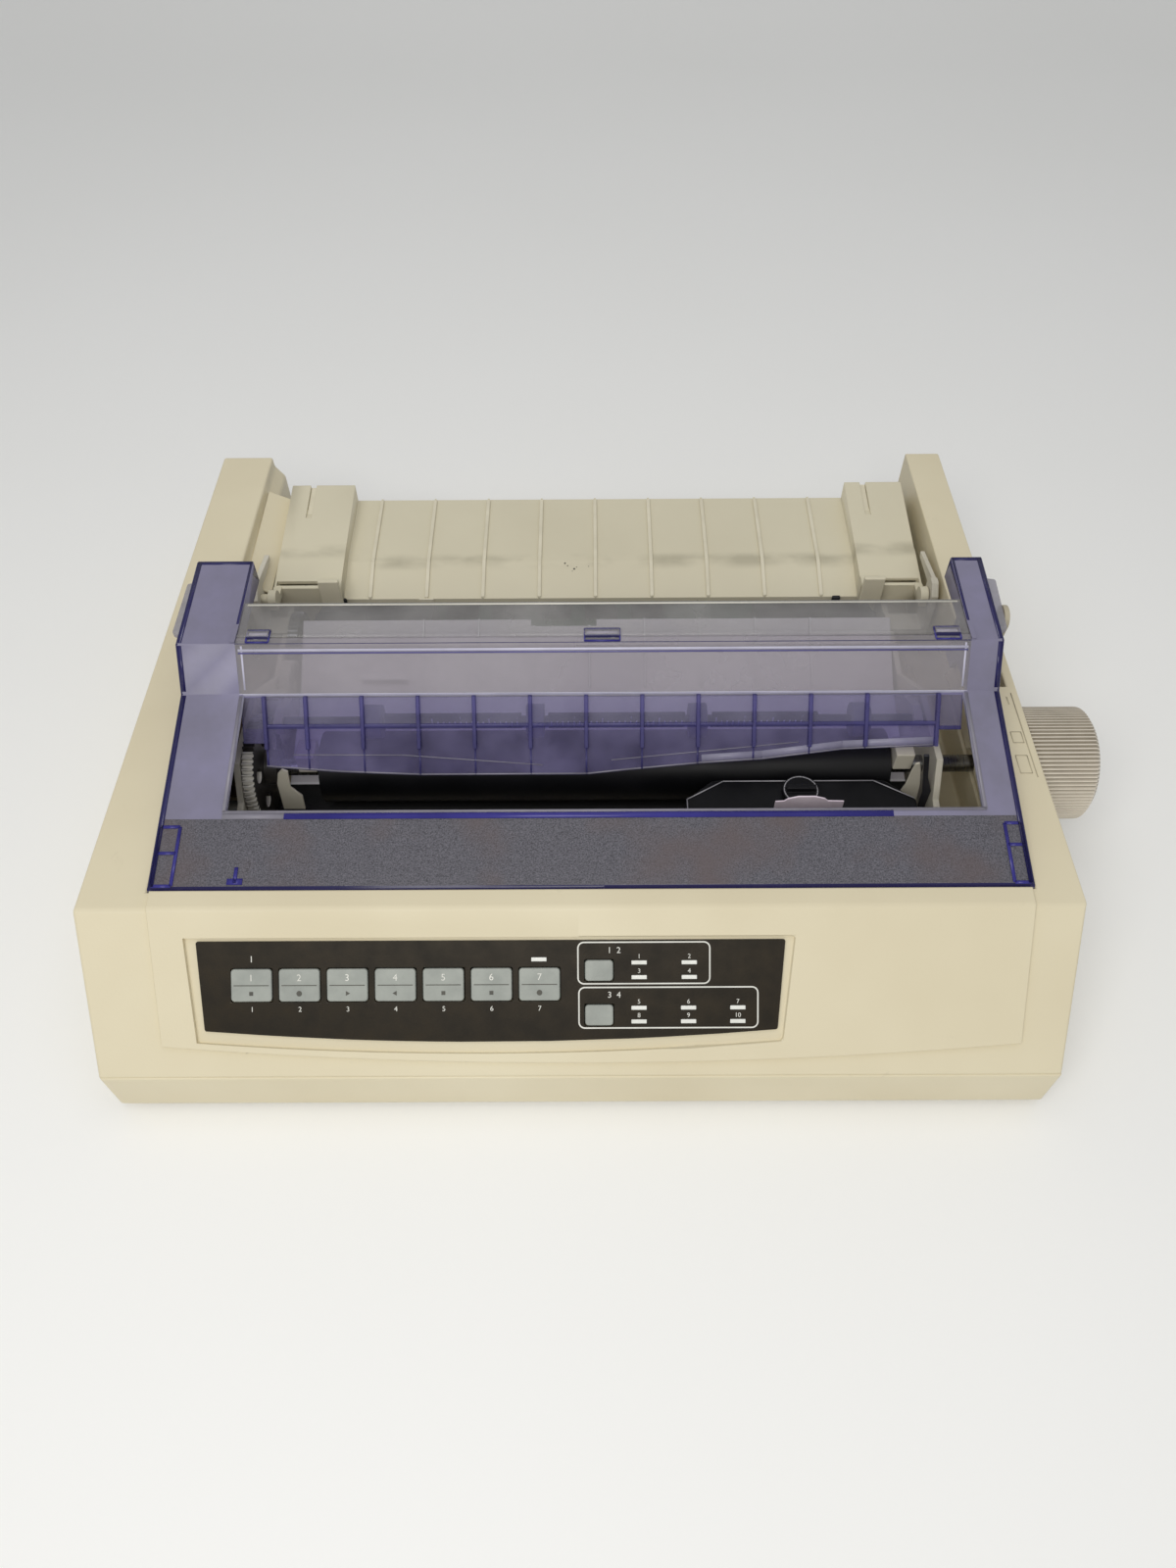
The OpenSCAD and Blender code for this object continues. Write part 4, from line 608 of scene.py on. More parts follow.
def strip_into(bm, a, b, width, up=(0, 0, 1), thick=0.12):
    """Adds a flat bar from a to b, width across, lying on a surface that faces up."""
    a, b = at(*a), at(*b)
    along, out = (b - a).normalized(), Vector(up).normalized()
    turn = Matrix((along, out.cross(along), out)).transposed().to_4x4()
    size = Matrix.Diagonal(((b - a).length, width / 1000, thick / 1000, 1.0))
    bmesh.ops.create_cube(bm, size=1.0, matrix=Matrix.Translation((a + b) / 2) @ turn @ size)


def line_into(bm, place, a, b, *look):
    """Adds a strip between two points that place finds on a surface."""
    strip_into(bm, place(*a), place(*b), *look)


def frame_into(bm, x0, x1, y0, y1, width, place, *look):
    """Adds four bars round a rectangle on a surface."""
    for a, b in (((x0, y0), (x1, y0)), ((x0, y1), (x1, y1)), ((x0, y0), (x0, y1)),
                 ((x1, y0), (x1, y1))):
        line_into(bm, place, a, b, width, *look)


def plates(y, thick, *outlines):
    """A bmesh of upright plates: outlines of (x, z) points, pushed back from y."""
    bm = bmesh.new()
    for outline in outlines:
        start = len(bm.faces)
        face = bm.faces.new([bm.verts.new(at(x, y, z)) for x, z in outline])
        grown = bmesh.ops.extrude_face_region(bm, geom=[face], use_keep_orig=True)
        moved = [v for v in grown["geom"] if isinstance(v, bmesh.types.BMVert)]
        bmesh.ops.translate(bm, vec=(0, thick / 1000, 0), verts=moved)
        bmesh.ops.recalc_face_normals(bm, faces=bm.faces[start:])
    return bm


def words_into(bm, text, size, matrix):
    """Adds plain numerals, size mm high, drawn in a flat face, to a bmesh."""
    curve = bpy.data.curves.new("numeral", "FONT")
    curve.body = text
    curve.size = size / 1000
    curve.align_x = "CENTER"
    curve.align_y = "CENTER"
    holder = bpy.data.objects.new("numeral", curve)
    bpy.context.scene.collection.objects.link(holder)
    bpy.context.view_layer.update()
    mesh = bpy.data.meshes.new_from_object(holder)
    mesh.transform(matrix)
    bm.from_mesh(mesh)
    bpy.data.objects.remove(holder)
    bpy.data.curves.remove(curve)
    bpy.data.meshes.remove(mesh)


def outline_into(bm, x0, x1, s0, s1, line, corner, up):
    """Adds a thin printed outline with rounded corners, flat on the slanted front."""
    ring = bmesh.new()
    bmesh.ops.create_grid(ring, x_segments=1, y_segments=1, size=1.0)
    bmesh.ops.scale(ring, vec=((x1 - x0) / 2000, (s1 - s0) / 2000, 1.0), verts=ring.verts)
    bevelled(ring, ring.verts[:], corner, 6, "VERTICES", False)
    inner = bmesh.ops.inset_region(ring, faces=ring.faces[:], thickness=line / 1000,
                                   use_boundary=True, use_even_offset=True)
    inside = [f for f in ring.faces if f not in inner["faces"]]
    bmesh.ops.delete(ring, geom=inside, context="FACES")
    ring.transform(slope_matrix((x0 + x1) / 2, (s0 + s1) / 2, up))
    temp = bpy.data.meshes.new("outline")
    ring.to_mesh(temp)
    bm.from_mesh(temp)
    ring.free()
    bpy.data.meshes.remove(temp)


# ------------------------------------------------------------------- properties

class PrinterColours(bpy.types.PropertyGroup):
    """Main colours of the printer"""
    case: bpy.props.FloatVectorProperty(
        name="Case", description="Cream of the moulded case",
        default=linear("#E2D8BB"), min=0.0, max=1.0, size=4, subtype="COLOR")
    case_shade: bpy.props.FloatVectorProperty(
        name="Case shade", description="Darker tone that the cream drifts to",
        default=linear("#DBD0B2"), min=0.0, max=1.0, size=4, subtype="COLOR")
    overlay: bpy.props.FloatVectorProperty(
        name="Overlay", description="Dark film of the control panel",
        default=linear("#2A2214"), min=0.0, max=1.0, size=4, subtype="COLOR")
    knob: bpy.props.FloatVectorProperty(
        name="Knob", description="Grey-brown of the hand knob's ribs",
        default=linear("#E6DECF"), min=0.0, max=1.0, size=4, subtype="COLOR")


class PrinterSizes(bpy.types.PropertyGroup):
    """Sizes that only the looks depend on"""
    case_edge: bpy.props.FloatProperty(
        name="Case edge", description="Radius of the case's outer edges",
        default=0.0016, min=0.0005, max=0.003, subtype="DISTANCE", unit="LENGTH")
    light: bpy.props.FloatProperty(
        name="Softbox", description="Power of the front softbox, of which the top one has 0.3",
        default=6.0, min=0.0, max=60.0, subtype="POWER", unit="POWER")


def colours():
    return bpy.context.scene.printer_colours


def sizes():
    return bpy.context.scene.printer_sizes


# -------------------------------------------------------------------- operators

class PRINTER_OT_stage(bpy.types.Operator):
    """Floor, soft lights and the camera"""
    bl_idname = "printer.stage"
    bl_label = "Stage"

    def execute(self, context):
        scene = context.scene
        # Floor and wall in one sweep of paper, a quarter round between them, in metres
        side, front, back, bend, height = 2.6, -2.2, 0.95, 0.5, 2.2
        turns = [math.radians(7.5 * k) for k in range(1, 13)]
        outline = [(front, 0.0), (back, 0.0)]
        outline += [(back + bend * math.sin(a), bend - bend * math.cos(a)) for a in turns]
        outline.append((back + bend, height))
        bm = bmesh.new()
        row = [bm.verts.new((-side, y, z)) for y, z in outline]
        edges = [bm.edges.new(pair) for pair in zip(row, row[1:])]
        swept = bmesh.ops.extrude_edge_only(bm, edges=edges)
        moved = [g for g in swept["geom"] if isinstance(g, bmesh.types.BMVert)]
        bmesh.ops.translate(bm, vec=(2 * side, 0, 0), verts=moved)
        bmesh.ops.recalc_face_normals(bm, faces=bm.faces)
        for face in bm.faces:
            face.smooth = True
        mesh = bpy.data.meshes.new("paper_sweep")
        bm.to_mesh(mesh)
        bm.free()
        sweep = bpy.data.objects.new("paper_sweep", mesh)
        scene.collection.objects.link(sweep)
        mesh.materials.append(material("seamless_paper"))

        world = bpy.data.worlds.new("tent")
        scene.world = world
        world.use_nodes = True
        sky = world.node_tree
        sky.nodes.clear()
        glow = add(sky, "Background", {"Color": linear("#F4F5F6"), "Strength": 0.46})
        end = add(sky, "OutputWorld")
        sky.links.new(glow.outputs[0], end.inputs["Surface"])

        power = sizes().light
        for name, place, aim, size, energy, colour in (
                ("softbox_front", (-0.2, -0.72, 0.94), (0, -0.08, 0.05), (0.9, 0.5), power,
                 "#FFFDF8"),
                ("softbox_top", (0, 0, 1.2), (0, -0.02, 0), (1.1, 0.7), power * 0.3,
                 "#FBFCFF")):
            light = bpy.data.lights.new(name, "AREA")
            light.shape = "RECTANGLE"
            light.size, light.size_y = size
            light.energy = energy
            light.color = linear(colour)[:3]
            holder = bpy.data.objects.new(name, light)
            holder.location = place
            holder.rotation_mode = "QUATERNION"
            holder.rotation_quaternion = (Vector(aim) - Vector(place)).to_track_quat("-Z", "Y")
            scene.collection.objects.link(holder)

        # The camera was solved from the case's corners in the photograph
        cam = bpy.data.cameras.new("camera")
        cam.sensor_fit = "AUTO"
        cam.sensor_width = 36.0
        cam.lens = 1109.0 / 1600.0 * 36.0
        cam.clip_start, cam.clip_end = 0.02, 20.0
        eye = bpy.data.objects.new("camera", cam)
        pitch, yaw, roll = (math.radians(a) for a in (52.165, -0.328, -0.554))
        ahead = Vector((math.sin(yaw) * math.cos(pitch), math.cos(yaw) * math.cos(pitch),
                        -math.sin(pitch)))
        right = Vector((math.cos(yaw), -math.sin(yaw), 0))
        up = right.cross(ahead)
        rolled = (math.cos(roll) * right + math.sin(roll) * up,
                  -math.sin(roll) * right + math.cos(roll) * up, -ahead)
        turn = Matrix(rolled).transposed().to_4x4()
        eye.matrix_world = Matrix.Translation(at(5.258, -171.133, 437.56)) @ turn
        scene.collection.objects.link(eye)
        scene.camera = eye
        scene.view_settings.view_transform = "Standard"
        scene.cycles.transparent_max_bounces = 28
        return {"FINISHED"}


class PRINTER_OT_case(bpy.types.Operator):
    """Upper and lower case, feet and screws"""
    bl_idname = "printer.case"
    bl_label = "Case"

    def execute(self, context):
        cuts = (("X", 0.0), ("Y", 120.0), ("Y", 240.0), ("X", -155.0), ("X", 150.0))
        for node in ("upper_case", "lower_case"):
            softened(node, "moulded_abs_aged_cream", sizes().case_edge * 1000, 3, cuts=cuts)

        # Raised outlines and a groove in the right strip, drawn darker as painted shade, and a
        # few rub marks in front
        def on_strip(x, y):
            return x, y, above("upper_case", x, y)[2] + 0.03

        def on_front(x, s):
            return case_mm(on_slope(x, s, 0.03))

        bm = bmesh.new()
        frame_into(bm, 188.9, 193.9, 117.4, 127.2, 0.4, on_strip)
        frame_into(bm, 189.9, 194.5, 134.4, 140.6, 0.4, on_strip)
        line_into(bm, on_strip, (193.1, 161.5), (193.3, 156.8), 0.5)
        line_into(bm, on_strip, (195.6, 163.9), (195.6, 115.2), 0.5)
        for a, b in (((-131.6, 57.0), (-129.9, 56.7)), ((-129.6, 56.5), (-128.8, 56.9)),
                     ((-17.0, 57.6), (-16.8, 58.5))):
            line_into(bm, on_front, a, b, 0.3, SLOPE_OUT, 0.06)
        piece("strip_outlines", bm, "moulded_abs_dusty", "upper_case")
        softened("rubber_feet", "moulded_rubber_black", 0.6)
        paint("case_screws", "zinc_plated_steel")
        return {"FINISHED"}


class PRINTER_OT_panel(bpy.types.Operator):
    """Control overlay with its print, buttons and lenses"""
    bl_idname = "printer.panel"
    bl_label = "Control panel"

    def execute(self, context):
        softened("control_overlay", "printed_polyester_film", 0.3, corner=1.8)
        # Heights above the slope of what is printed on the film and on the keys
        film, cap = 1.06, 1.95
        bm = bmesh.new()
        outline_into(bm, -0.8, 51.3, 13.1, 30.0, 0.55, 2.6, film)
        outline_into(bm, -0.5, 70.1, 30.9, 47.5, 0.55, 2.6, film)
        lenses = [(x, s) for s in (21.4, 27.2) for x in (178.4, 198)]
        lenses += [(x, s) for s in (39.3, 44.7) for x in (178.3, 197.7, 217)]
        marks = [(KEY_X, 19.6, "1", 3.6), (13.6, 16.6, "1  2", 3.4), (13.6, 34.2, "3  4", 3.4)]
        marks += [(RECESS_X + x, s - 2.4, str(k), 2.5) for k, (x, s) in enumerate(lenses, 1)]
        marks += [(KEY_X + KEY_PITCH * k, 39.4, str(k + 1), 2.8) for k in range(7)]
        for x, s, text, size in marks:
            words_into(bm, text, size, slope_matrix(x, s, film))
        piece("panel_print", bm, "screen_print_ink_white", "control_overlay")
        softened("indicator_lenses", "acrylic_milky_white", 0.2)

        # Seven large keys with a numeral, a line and a sign, given by its sides and turn
        signs = ((4, 45), (24, 0), (3, 30), (3, 90), (4, 45), (4, 45), (24, 0))
        for k, (sides, turn) in enumerate(signs):
            x, node = KEY_X + KEY_PITCH * k, f"button_{k + 1}"
            keycap(node, x, KEY_S, 16, 12.9)
            bm = bmesh.new()
            words_into(bm, str(k + 1), 3.8, slope_matrix(x, KEY_S - 2.9, cap + 0.01))
            piece(f"button_numeral_{k + 1}", bm, "screen_print_ink_white", node)
            bm = bmesh.new()
            line = slope_matrix(x, KEY_S, cap) @ Matrix.Diagonal((0.0138, 0.00035, 1, 1))
            bmesh.ops.create_grid(bm, x_segments=1, y_segments=1, size=0.5, matrix=line)
            sign = slope_matrix(x, KEY_S + 3.2, cap) @ Matrix.Rotation(
                math.radians(turn), 4, "Z")
            bmesh.ops.create_circle(bm, cap_ends=True, segments=sides, radius=0.0011,
                                    matrix=sign)
            piece(f"button_symbol_{k + 1}", bm, "screen_print_ink_grey", node)
        keycap("button_8", 7.7, 24.4, 11, 8.2)
        keycap("button_9", 7.7, 42, 11, 8.2)
        paint("control_board", "fr4_solder_resist")
        return {"FINISHED"}


class PRINTER_OT_cover(bpy.types.Operator):
    """Tinted access cover, tear guard, grips and rear flap"""
    bl_idname = "printer.cover"
    bl_label = "Access cover"

    def execute(self, context):
        self.shell()
        self.shell_lines()
        self.guard()
        self.guard_lines()
        self.flap()
        softened("cover_grips", "polycarbonate_grip_hazed", 1.2, 4)
        return {"FINISHED"}

    def shell(self):
        """The cover: cloudy skin, frosted band, clear rear, dark edges, painted highlights on
        creases
        """
        left, right = INNER_X
        bm = merged("access_cover", (("X", 10.0), ("Y", 118.0), ("Y", 175.0), ("X", left),
                                     ("X", right), ("Y", FROST_Y)))
        for face in bm.faces:
            c, n = middle(face), face.normal
            inside = left < c.x < right
            narrow = width_of(face) < 0.0028
            window = (WINDOW_X[0] - 1 < c.x < WINDOW_X[1] + 1
                      and WINDOW_Y - 1 < c.y < COVER_Y[1])
            if c.y < FROST_Y and n.z > 0.8 and c.z > 73:
                face.material_index = 1
            # Cut edges of the window: a lilac painted highlight
            elif narrow and window and c.z > 72 and abs(n.z) < 0.7:
                face.material_index = 4
            elif narrow and n.z < 0.8 and longest_edge(face) > 0.006:
                face.material_index = 3
            elif inside and abs(n.y) > 0.8 and c.z < COVER_Z[2] and abs(c.y - 160.5) < 1.5:
                face.material_index = 2
            elif inside and c.y > COVER_Y[1] - 0.3:
                face.material_index = 2
        outer, lower_fold, upper_fold = [], [], []
        for e in bm.edges:
            if len(e.link_faces) != 2 or e.calc_face_angle(0) < math.radians(15):
                continue
            a, b = (case_mm(v.co) for v in e.verts)
            way = b - a
            side = min(abs(a.x - x) for x in COVER_X) < 0.1 and abs(way.x) < 0.01
            if side and way.length > 4 and min(a.z, b.z) > 71.5 \
                    and any(f.normal.z > 0.2 for f in e.link_faces):
                outer.append(e)
            for y, z, folds in zip(COVER_Y[1:3], COVER_Z[1:3], (lower_fold, upper_fold)):
                if abs(a.y - y) + abs(b.y - y) < 0.1 and abs(a.z - z) + abs(b.z - z) < 0.2:
                    folds.append(e)
        # The lower fold's round takes a lilac painted highlight, the others the deep blue edge
        for edges, width, rounds, slot in ((outer, 1.0, 3, 3), (lower_fold, 0.8, 2, 4),
                                           (upper_fold, 0.4, 2, 3)):
            for face in bevelled(bm, [e for e in edges if e.is_valid], width, rounds):
                face.material_index = slot
        piece("access_cover_soft", bm,
              "polycarbonate_tinted_cloudy frosted_polycarbonate_grainy"
              " polycarbonate_tinted_clear polycarbonate_edge_blue polycarbonate_crease_lilac",
              "access_cover", 0.4, 2, 25.0, True)

    def shell_lines(self):
        """Lines where the cover's plastic gathers its dye or catches the light"""
        left, right = INNER_X
        # Ribs and cells on the underside, which show through the skin
        bm = bmesh.new()
        line_into(bm, on_cover, (-120.1, 90.1), (127.8, 90.1), 2.9, COVER_OUT)
        for x0, x1, y in ((-169.4, -161.6, 74.5), (172.0, 178.3, 76.5)):
            frame_into(bm, x0, x1, 60.9, 85.6, 1.4, on_cover, COVER_OUT)
            line_into(bm, on_cover, (x0, y), (x1, y), 1.4, COVER_OUT)
        line_into(bm, on_cover, (-139.6, 62.6), (-133.4, 62.6), 2.6, COVER_OUT)
        line_into(bm, on_cover, (-136.5, 62.0), (-136.5, 68.5), 1.5, COVER_OUT)
        knuckles = ((-141.2, -131.7), (2.5, 17.5), (151.3, 161.8))
        for x0, x1 in knuckles:
            frame_into(bm, x0, x1, 158.9, 165.4, 0.6, on_top, TOP_OUT, 0.9)
        piece("cover_rib_lines", bm, "polycarbonate_rib_deep_blue", "access_cover")
        bm = bmesh.new()
        strip_into(bm, (left + 1, 155.9, 108.05), (right - 1, 155.9, 108.05), 0.7, RISER_OUT)
        piece("riser_violet_line", bm, "polycarbonate_edge_violet", "access_cover")
        # The outer edges, where it is thickest
        bm = bmesh.new()
        for x in (COVER_X[0] + 1.85, COVER_X[1] - 1.85):
            line_into(bm, on_cover, (x, 60.6), (x, 145.0), 1.7, COVER_OUT)
            strip_into(bm, (x, 146.3, 94.8), (x, 157.9, 110.8), 1.7, RISER_OUT)
            line_into(bm, on_top, (x, 159.0), (x, 205.6), 1.7, TOP_OUT)
        for x0, x1, rim in ((-170.4, -146.2, -146.4), (166.6, 179.6, 166.8)):
            line_into(bm, on_top, (x0, 205.4), (x1, 205.4), 1.9, TOP_OUT)
            line_into(bm, on_top, (rim, 158.8), (rim, 206.2), 1.1, TOP_OUT)
        piece("cover_edge_lines", bm, "polycarbonate_edge_deep", "access_cover")
        # The window's rim: a grey painted highlight
        bm = bmesh.new()
        x0, x1 = WINDOW_X
        front, rear = WINDOW_Y - 0.4, COVER_Y[1] - 1.0
        for x in (x0 - 0.8, x1 + 0.8):
            line_into(bm, on_cover, (x, front), (x, rear), 1.4, COVER_OUT)
        line_into(bm, on_cover, (x0 - 1.2, front), (x1 + 1.2, front), 1.3, COVER_OUT)
        line_into(bm, on_cover, (x0 - 1.2, 90.1), (-120.3, 90.1), 2.6, COVER_OUT)
        piece("window_rim", bm, "polycarbonate_rim_rubbed", "access_cover")
        # Painted highlights at the ends of the riser, where its plate stands on the side walls
        # and shines
        bm = bmesh.new()
        for x in (-143.2, 163.9, 178.2):
            strip_into(bm, (x, 146.6, 95.2), (x, 157.7, 110.5), 0.8, RISER_OUT)
        # A painted highlight along the riser just under the upper fold
        strip_into(bm, (left + 1, 156.6, 109.0), (right - 1, 156.6, 109.0), 1.1, RISER_OUT)
        # Painted highlights down the middle of each hinge knuckle
        for x0, x1 in knuckles:
            line_into(bm, on_top, (x0 + 0.9, 163.4), (x1 - 0.9, 163.4), 1.5, TOP_OUT, 0.9)
        piece("riser_bright_lines", bm, "polycarbonate_crease_lilac", "access_cover")

    def guard(self):
        """The tear guard, with bluer ribs and a thinner lower part"""
        bm = merged("tear_guard")
        down, across = math.cos(GUARD_TILT), math.sin(GUARD_TILT)
        # The photograph shows the inner ribs 6.3 mm nearer to the left end
        for v in bm.verts:
            c = case_mm(v.co)
            length = (GUARD_Y - c.y) * down + (GUARD_Z - c.z) * across
            if GUARD_X[0] + 3 < c.x < GUARD_X[1] - 3 and 0.5 < length < 24.3:
                v.co.x -= 0.0063
        step = on_guard(0, 15.2, 0)
        bmesh.ops.bisect_plane(bm, geom=bm.verts[:] + bm.edges[:] + bm.faces[:],
                               plane_co=at(*step), plane_no=(0, down, across), dist=0.00001)
        for face in bm.faces:
            if width_of(face) < 0.0026:
                face.material_index = 1
            elif middle(face).z < step[2]:
                face.material_index = 2
        piece("tear_guard_soft", bm, "polycarbonate_tinted_violet polycarbonate_rib_blue"
              " polycarbonate_tinted_violet_thin", "tear_guard", 0.3, instead=True)

    def guard_lines(self):
        """Lines where the guard's ribs and its lower edge catch the light"""
        x0, x1 = GUARD_X
        # The lower edge: shares of the guard's length, and how far it reaches down there
        shares = ((0, 32), (0.11, 34.5), (0.23, 36), (0.48, 36), (0.54, 34.2), (0.65, 31.4),
                  (0.74, 29.8), (0.86, 25.6), (1, 24))
        low = [(x0 + (x1 - x0) * share, length) for share, length in shares]

        def reach(x):
            for (xa, la), (xb, lb) in zip(low, low[1:]):
                if xa <= x <= xb:
                    return la + (lb - la) * (x - xa) / (xb - xa)
            return 24

        ribs, bright, pale = bmesh.new(), bmesh.new(), bmesh.new()
        for k in range(13):
            x = x0 + 0.8 + (x1 - x0 - 1.6) * k / 12 - (6.3 if 0 < k < 12 else 0)
            if reach(x) > 24.6:
                line_into(ribs, on_guard, (x, 24), (x, reach(x) - 0.2), 0.8, GUARD_OUT)
        # Painted highlights along the lower edge, along the root and in three thin streaks
        for (xa, la), (xb, lb) in zip(low, low[1:]):
            line_into(bright, on_guard, (xa, la - 0.6), (xb, lb - 0.6), 0.6, GUARD_OUT)
        line_into(bright, on_guard, (x0, 1.2), (x1, 1.2), 0.5, GUARD_OUT)
        for a, b in (((x0 + 12, 26.5), (x0 + 60, 26.9)), ((x0 + 60, 26.9), (x0 + 120, 31.5)),
                     ((x0 + 150, 29.5), (x1 - 60, 22.0))):
            line_into(bright, on_guard, a, b, 0.35, GUARD_OUT)
        for (xa, la), (xb, lb) in zip(low[5:], low[6:]):
            line_into(pale, on_guard, (xa, la - 2.6), (xb, lb - 2.6), 3.0, GUARD_OUT, 0.06)
        piece("guard_pale_band", pale, "polycarbonate_edge_pale", "tear_guard")
        piece("guard_rib_lines", ribs, "polycarbonate_rib_blue", "tear_guard")
        piece("guard_bright_lines", bright, "polycarbonate_rim_rubbed", "tear_guard")

    def flap(self):
        """The clear rear flap, its edges brighter and the rearmost one white: painted
        highlights
        """
        bm = merged("rear_flap")
        for face in bm.faces:
            if width_of(face) < 0.0022:
                face.material_index = int(middle(face).y > 170)
        piece("rear_flap_soft", bm, "polycarbonate_clear_hazed polycarbonate_clear_edge",
              "rear_flap", 0.3, instead=True)
        corners = points_of("rear_flap")
        rear = max(c.y for c in corners) - 1.3
        ends = [c.x for c in corners if c.y > rear - 5]
        bm = bmesh.new()
        strip_into(bm, above("rear_flap", min(ends) + 1.5, rear),
                   above("rear_flap", max(ends) - 1.5, rear), 1.3, (0, 0.05, 1), 0.1)
        piece("flap_rear_line", bm, "polycarbonate_rubbed_edge", "rear_flap")


class PRINTER_OT_separator(bpy.types.Operator):
    """Paper separator and its sheet guides"""
    bl_idname = "printer.separator"
    bl_label = "Paper separator"

    def execute(self, context):
        softened("paper_separator", "moulded_abs_sooty", 0.6, sharp=9.0, cuts=(("Y", 274.0),))
        for side in ("left", "right"):
            softened(f"sheet_guide_{side}", "moulded_abs_sooty", 0.5)
        # Crowns of the ribs, lighter as a painted highlight, and the foot of one rib on the
        # lip
        bm = boxes(((-84.0, 251.0, 46.7), (-76.4, 252.1, 51.0)))
        for k in range(-4, 5):
            points = [above("paper_separator", 7.7 + 29.3 * k, y)
                      for y in (252.3, 273.4, 274.6, 320.6)]
            for a, b in zip(points, points[1:]):
                strip_into(bm, a, b, 1.9, (0, a[2] - b[2], b[1] - a[1]), 0.6)
        # Floors of the two side grooves
        for x in (-145.5, 153.5):
            strip_into(bm, (x, 298.2, 65.3), (x, 321.4, 68.3), 2.9, (0, -9.5, 72.7), 0.6)
        piece("separator_rib_crowns", bm, "moulded_abs_rubbed", "paper_separator", 0.2)
        # Rubber stops on the lip
        bm = boxes(((-126.0, 249.9, 47.2), (-121.6, 251.95, 51.6)),
                   ((130.4, 249.9, 47.2), (134.6, 251.95, 51.6)))
        piece("rubber_stops", bm, "moulded_rubber_stop", "paper_separator", 0.6)
        # Ink specks that a ribbon has left
        bm = bmesh.new()
        for x, y, r in ((-8.3, 272.2, 0.5), (-6.9, 270.8, 0.35), (-3.4, 268.9, 0.55),
                        (-2.2, 269.9, 0.3), (-4.4, 267.6, 0.25), (4.1, 270.3, 0.25)):
            x, y, z = above("paper_separator", x, y)
            bmesh.ops.create_circle(bm, cap_ends=True, segments=9, radius=r / 1000,
                                    matrix=Matrix.Translation(at(x, y, z + 0.06))
                                    @ Matrix.Rotation(math.radians(16), 4, "X"))
        piece("ink_specks", bm, "dried_ink", "paper_separator")
        return {"FINISHED"}


def ribbed_knob():
    """The hand knob with 88 fine ribs that run to its rounded rim, as the photograph has
    them. The CAD node has 60 coarser ones."""
    xs = [c.x for c in points_of("platen_knob")]
    x0, x1, body, proud, rim = min(xs), max(xs), 24.9, 1.1, 3.0
    # Two steps round the axis for each rib and two for each groove
    steps = 4 * 88
    turns = [math.radians(15 * k) for k in range(7)]
    outline = [(x0, 3.0), (x0, body)]
    outline += [(x1 - rim + rim * math.sin(a), body - rim + rim * math.cos(a)) for a in turns]
    outline.append((x1, 0.0))
    bm = bmesh.new()
    row = [bm.verts.new(at(x, AXIS_Y, AXIS_Z + up)) for x, up in outline]
    edges = [bm.edges.new(pair) for pair in zip(row, row[1:])]
    bmesh.ops.spin(bm, geom=row + edges, cent=at(0, AXIS_Y, AXIS_Z), axis=(1, 0, 0),
                   angle=math.tau, steps=steps, use_merge=True)
    bmesh.ops.remove_doubles(bm, verts=bm.verts, dist=0.000001)
    for v in bm.verts:
        c = case_mm(v.co)
        y, z = c.y - AXIS_Y, c.z - AXIS_Z
        out = math.hypot(y, z)
        if out > body - 0.2 and round(math.atan2(z, y) / math.tau * steps) % 4 < 2:
            grow = (out + proud) / out
            v.co = at(c.x, AXIS_Y + y * grow, AXIS_Z + z * grow)
    bmesh.ops.recalc_face_normals(bm, faces=bm.faces)
    # Faces in the grooves between the ribs take the darker tone: painted shade
    for f in bm.faces:
        c = middle(f)
        step = math.floor(math.atan2(c.z - AXIS_Z, c.y - AXIS_Y) / math.tau * steps) % 4
        f.material_index = int(step in (1, 2) and c.x > x0 + 0.1 and f.calc_area() < 6e-5)
    piece("platen_knob_ribbed", bm, "moulded_abs_grey_brown moulded_abs_greasy_groove",
          "platen_knob", 0.1, 1, instead=True)


class PRINTER_OT_platen(bpy.types.Operator):
    """Platen, its shaft, gear and hand knob"""
    bl_idname = "printer.platen"
    bl_label = "Platen"

    def execute(self, context):
        paint("platen_roller", "ground_rubber_black")
        paint("platen_shaft tractor_drive_shaft tractor_support_shaft", "ground_steel")
        # The carriage rails near black: painted shade inside the window
        paint("carriage_rails", "oil_blackened_steel")
        ribbed_knob()
        paint("idler_gear_front idler_gear_rear motor_pulley idler_pulley",
              "moulded_acetal_white")
        # The gear's teeth keep the acetal's white; its flanks and the faces near its middle
        # are dark grey, as painted shade
        bm = merged("platen_gear")
        for face in bm.faces:
            z = middle(face).z
            near = max(math.hypot(case_mm(v.co).y - AXIS_Y, case_mm(v.co).z - z)
                       for v in face.verts)
            if abs(face.normal.x) > 0.8 or near < 9:
                face.material_index = 1
        piece("platen_gear_soft", bm, "moulded_acetal_white moulded_acetal_greased",
              "platen_gear", 0.2, instead=True)
        paint("motor_pinion", "turned_brass")
        return {"FINISHED"}


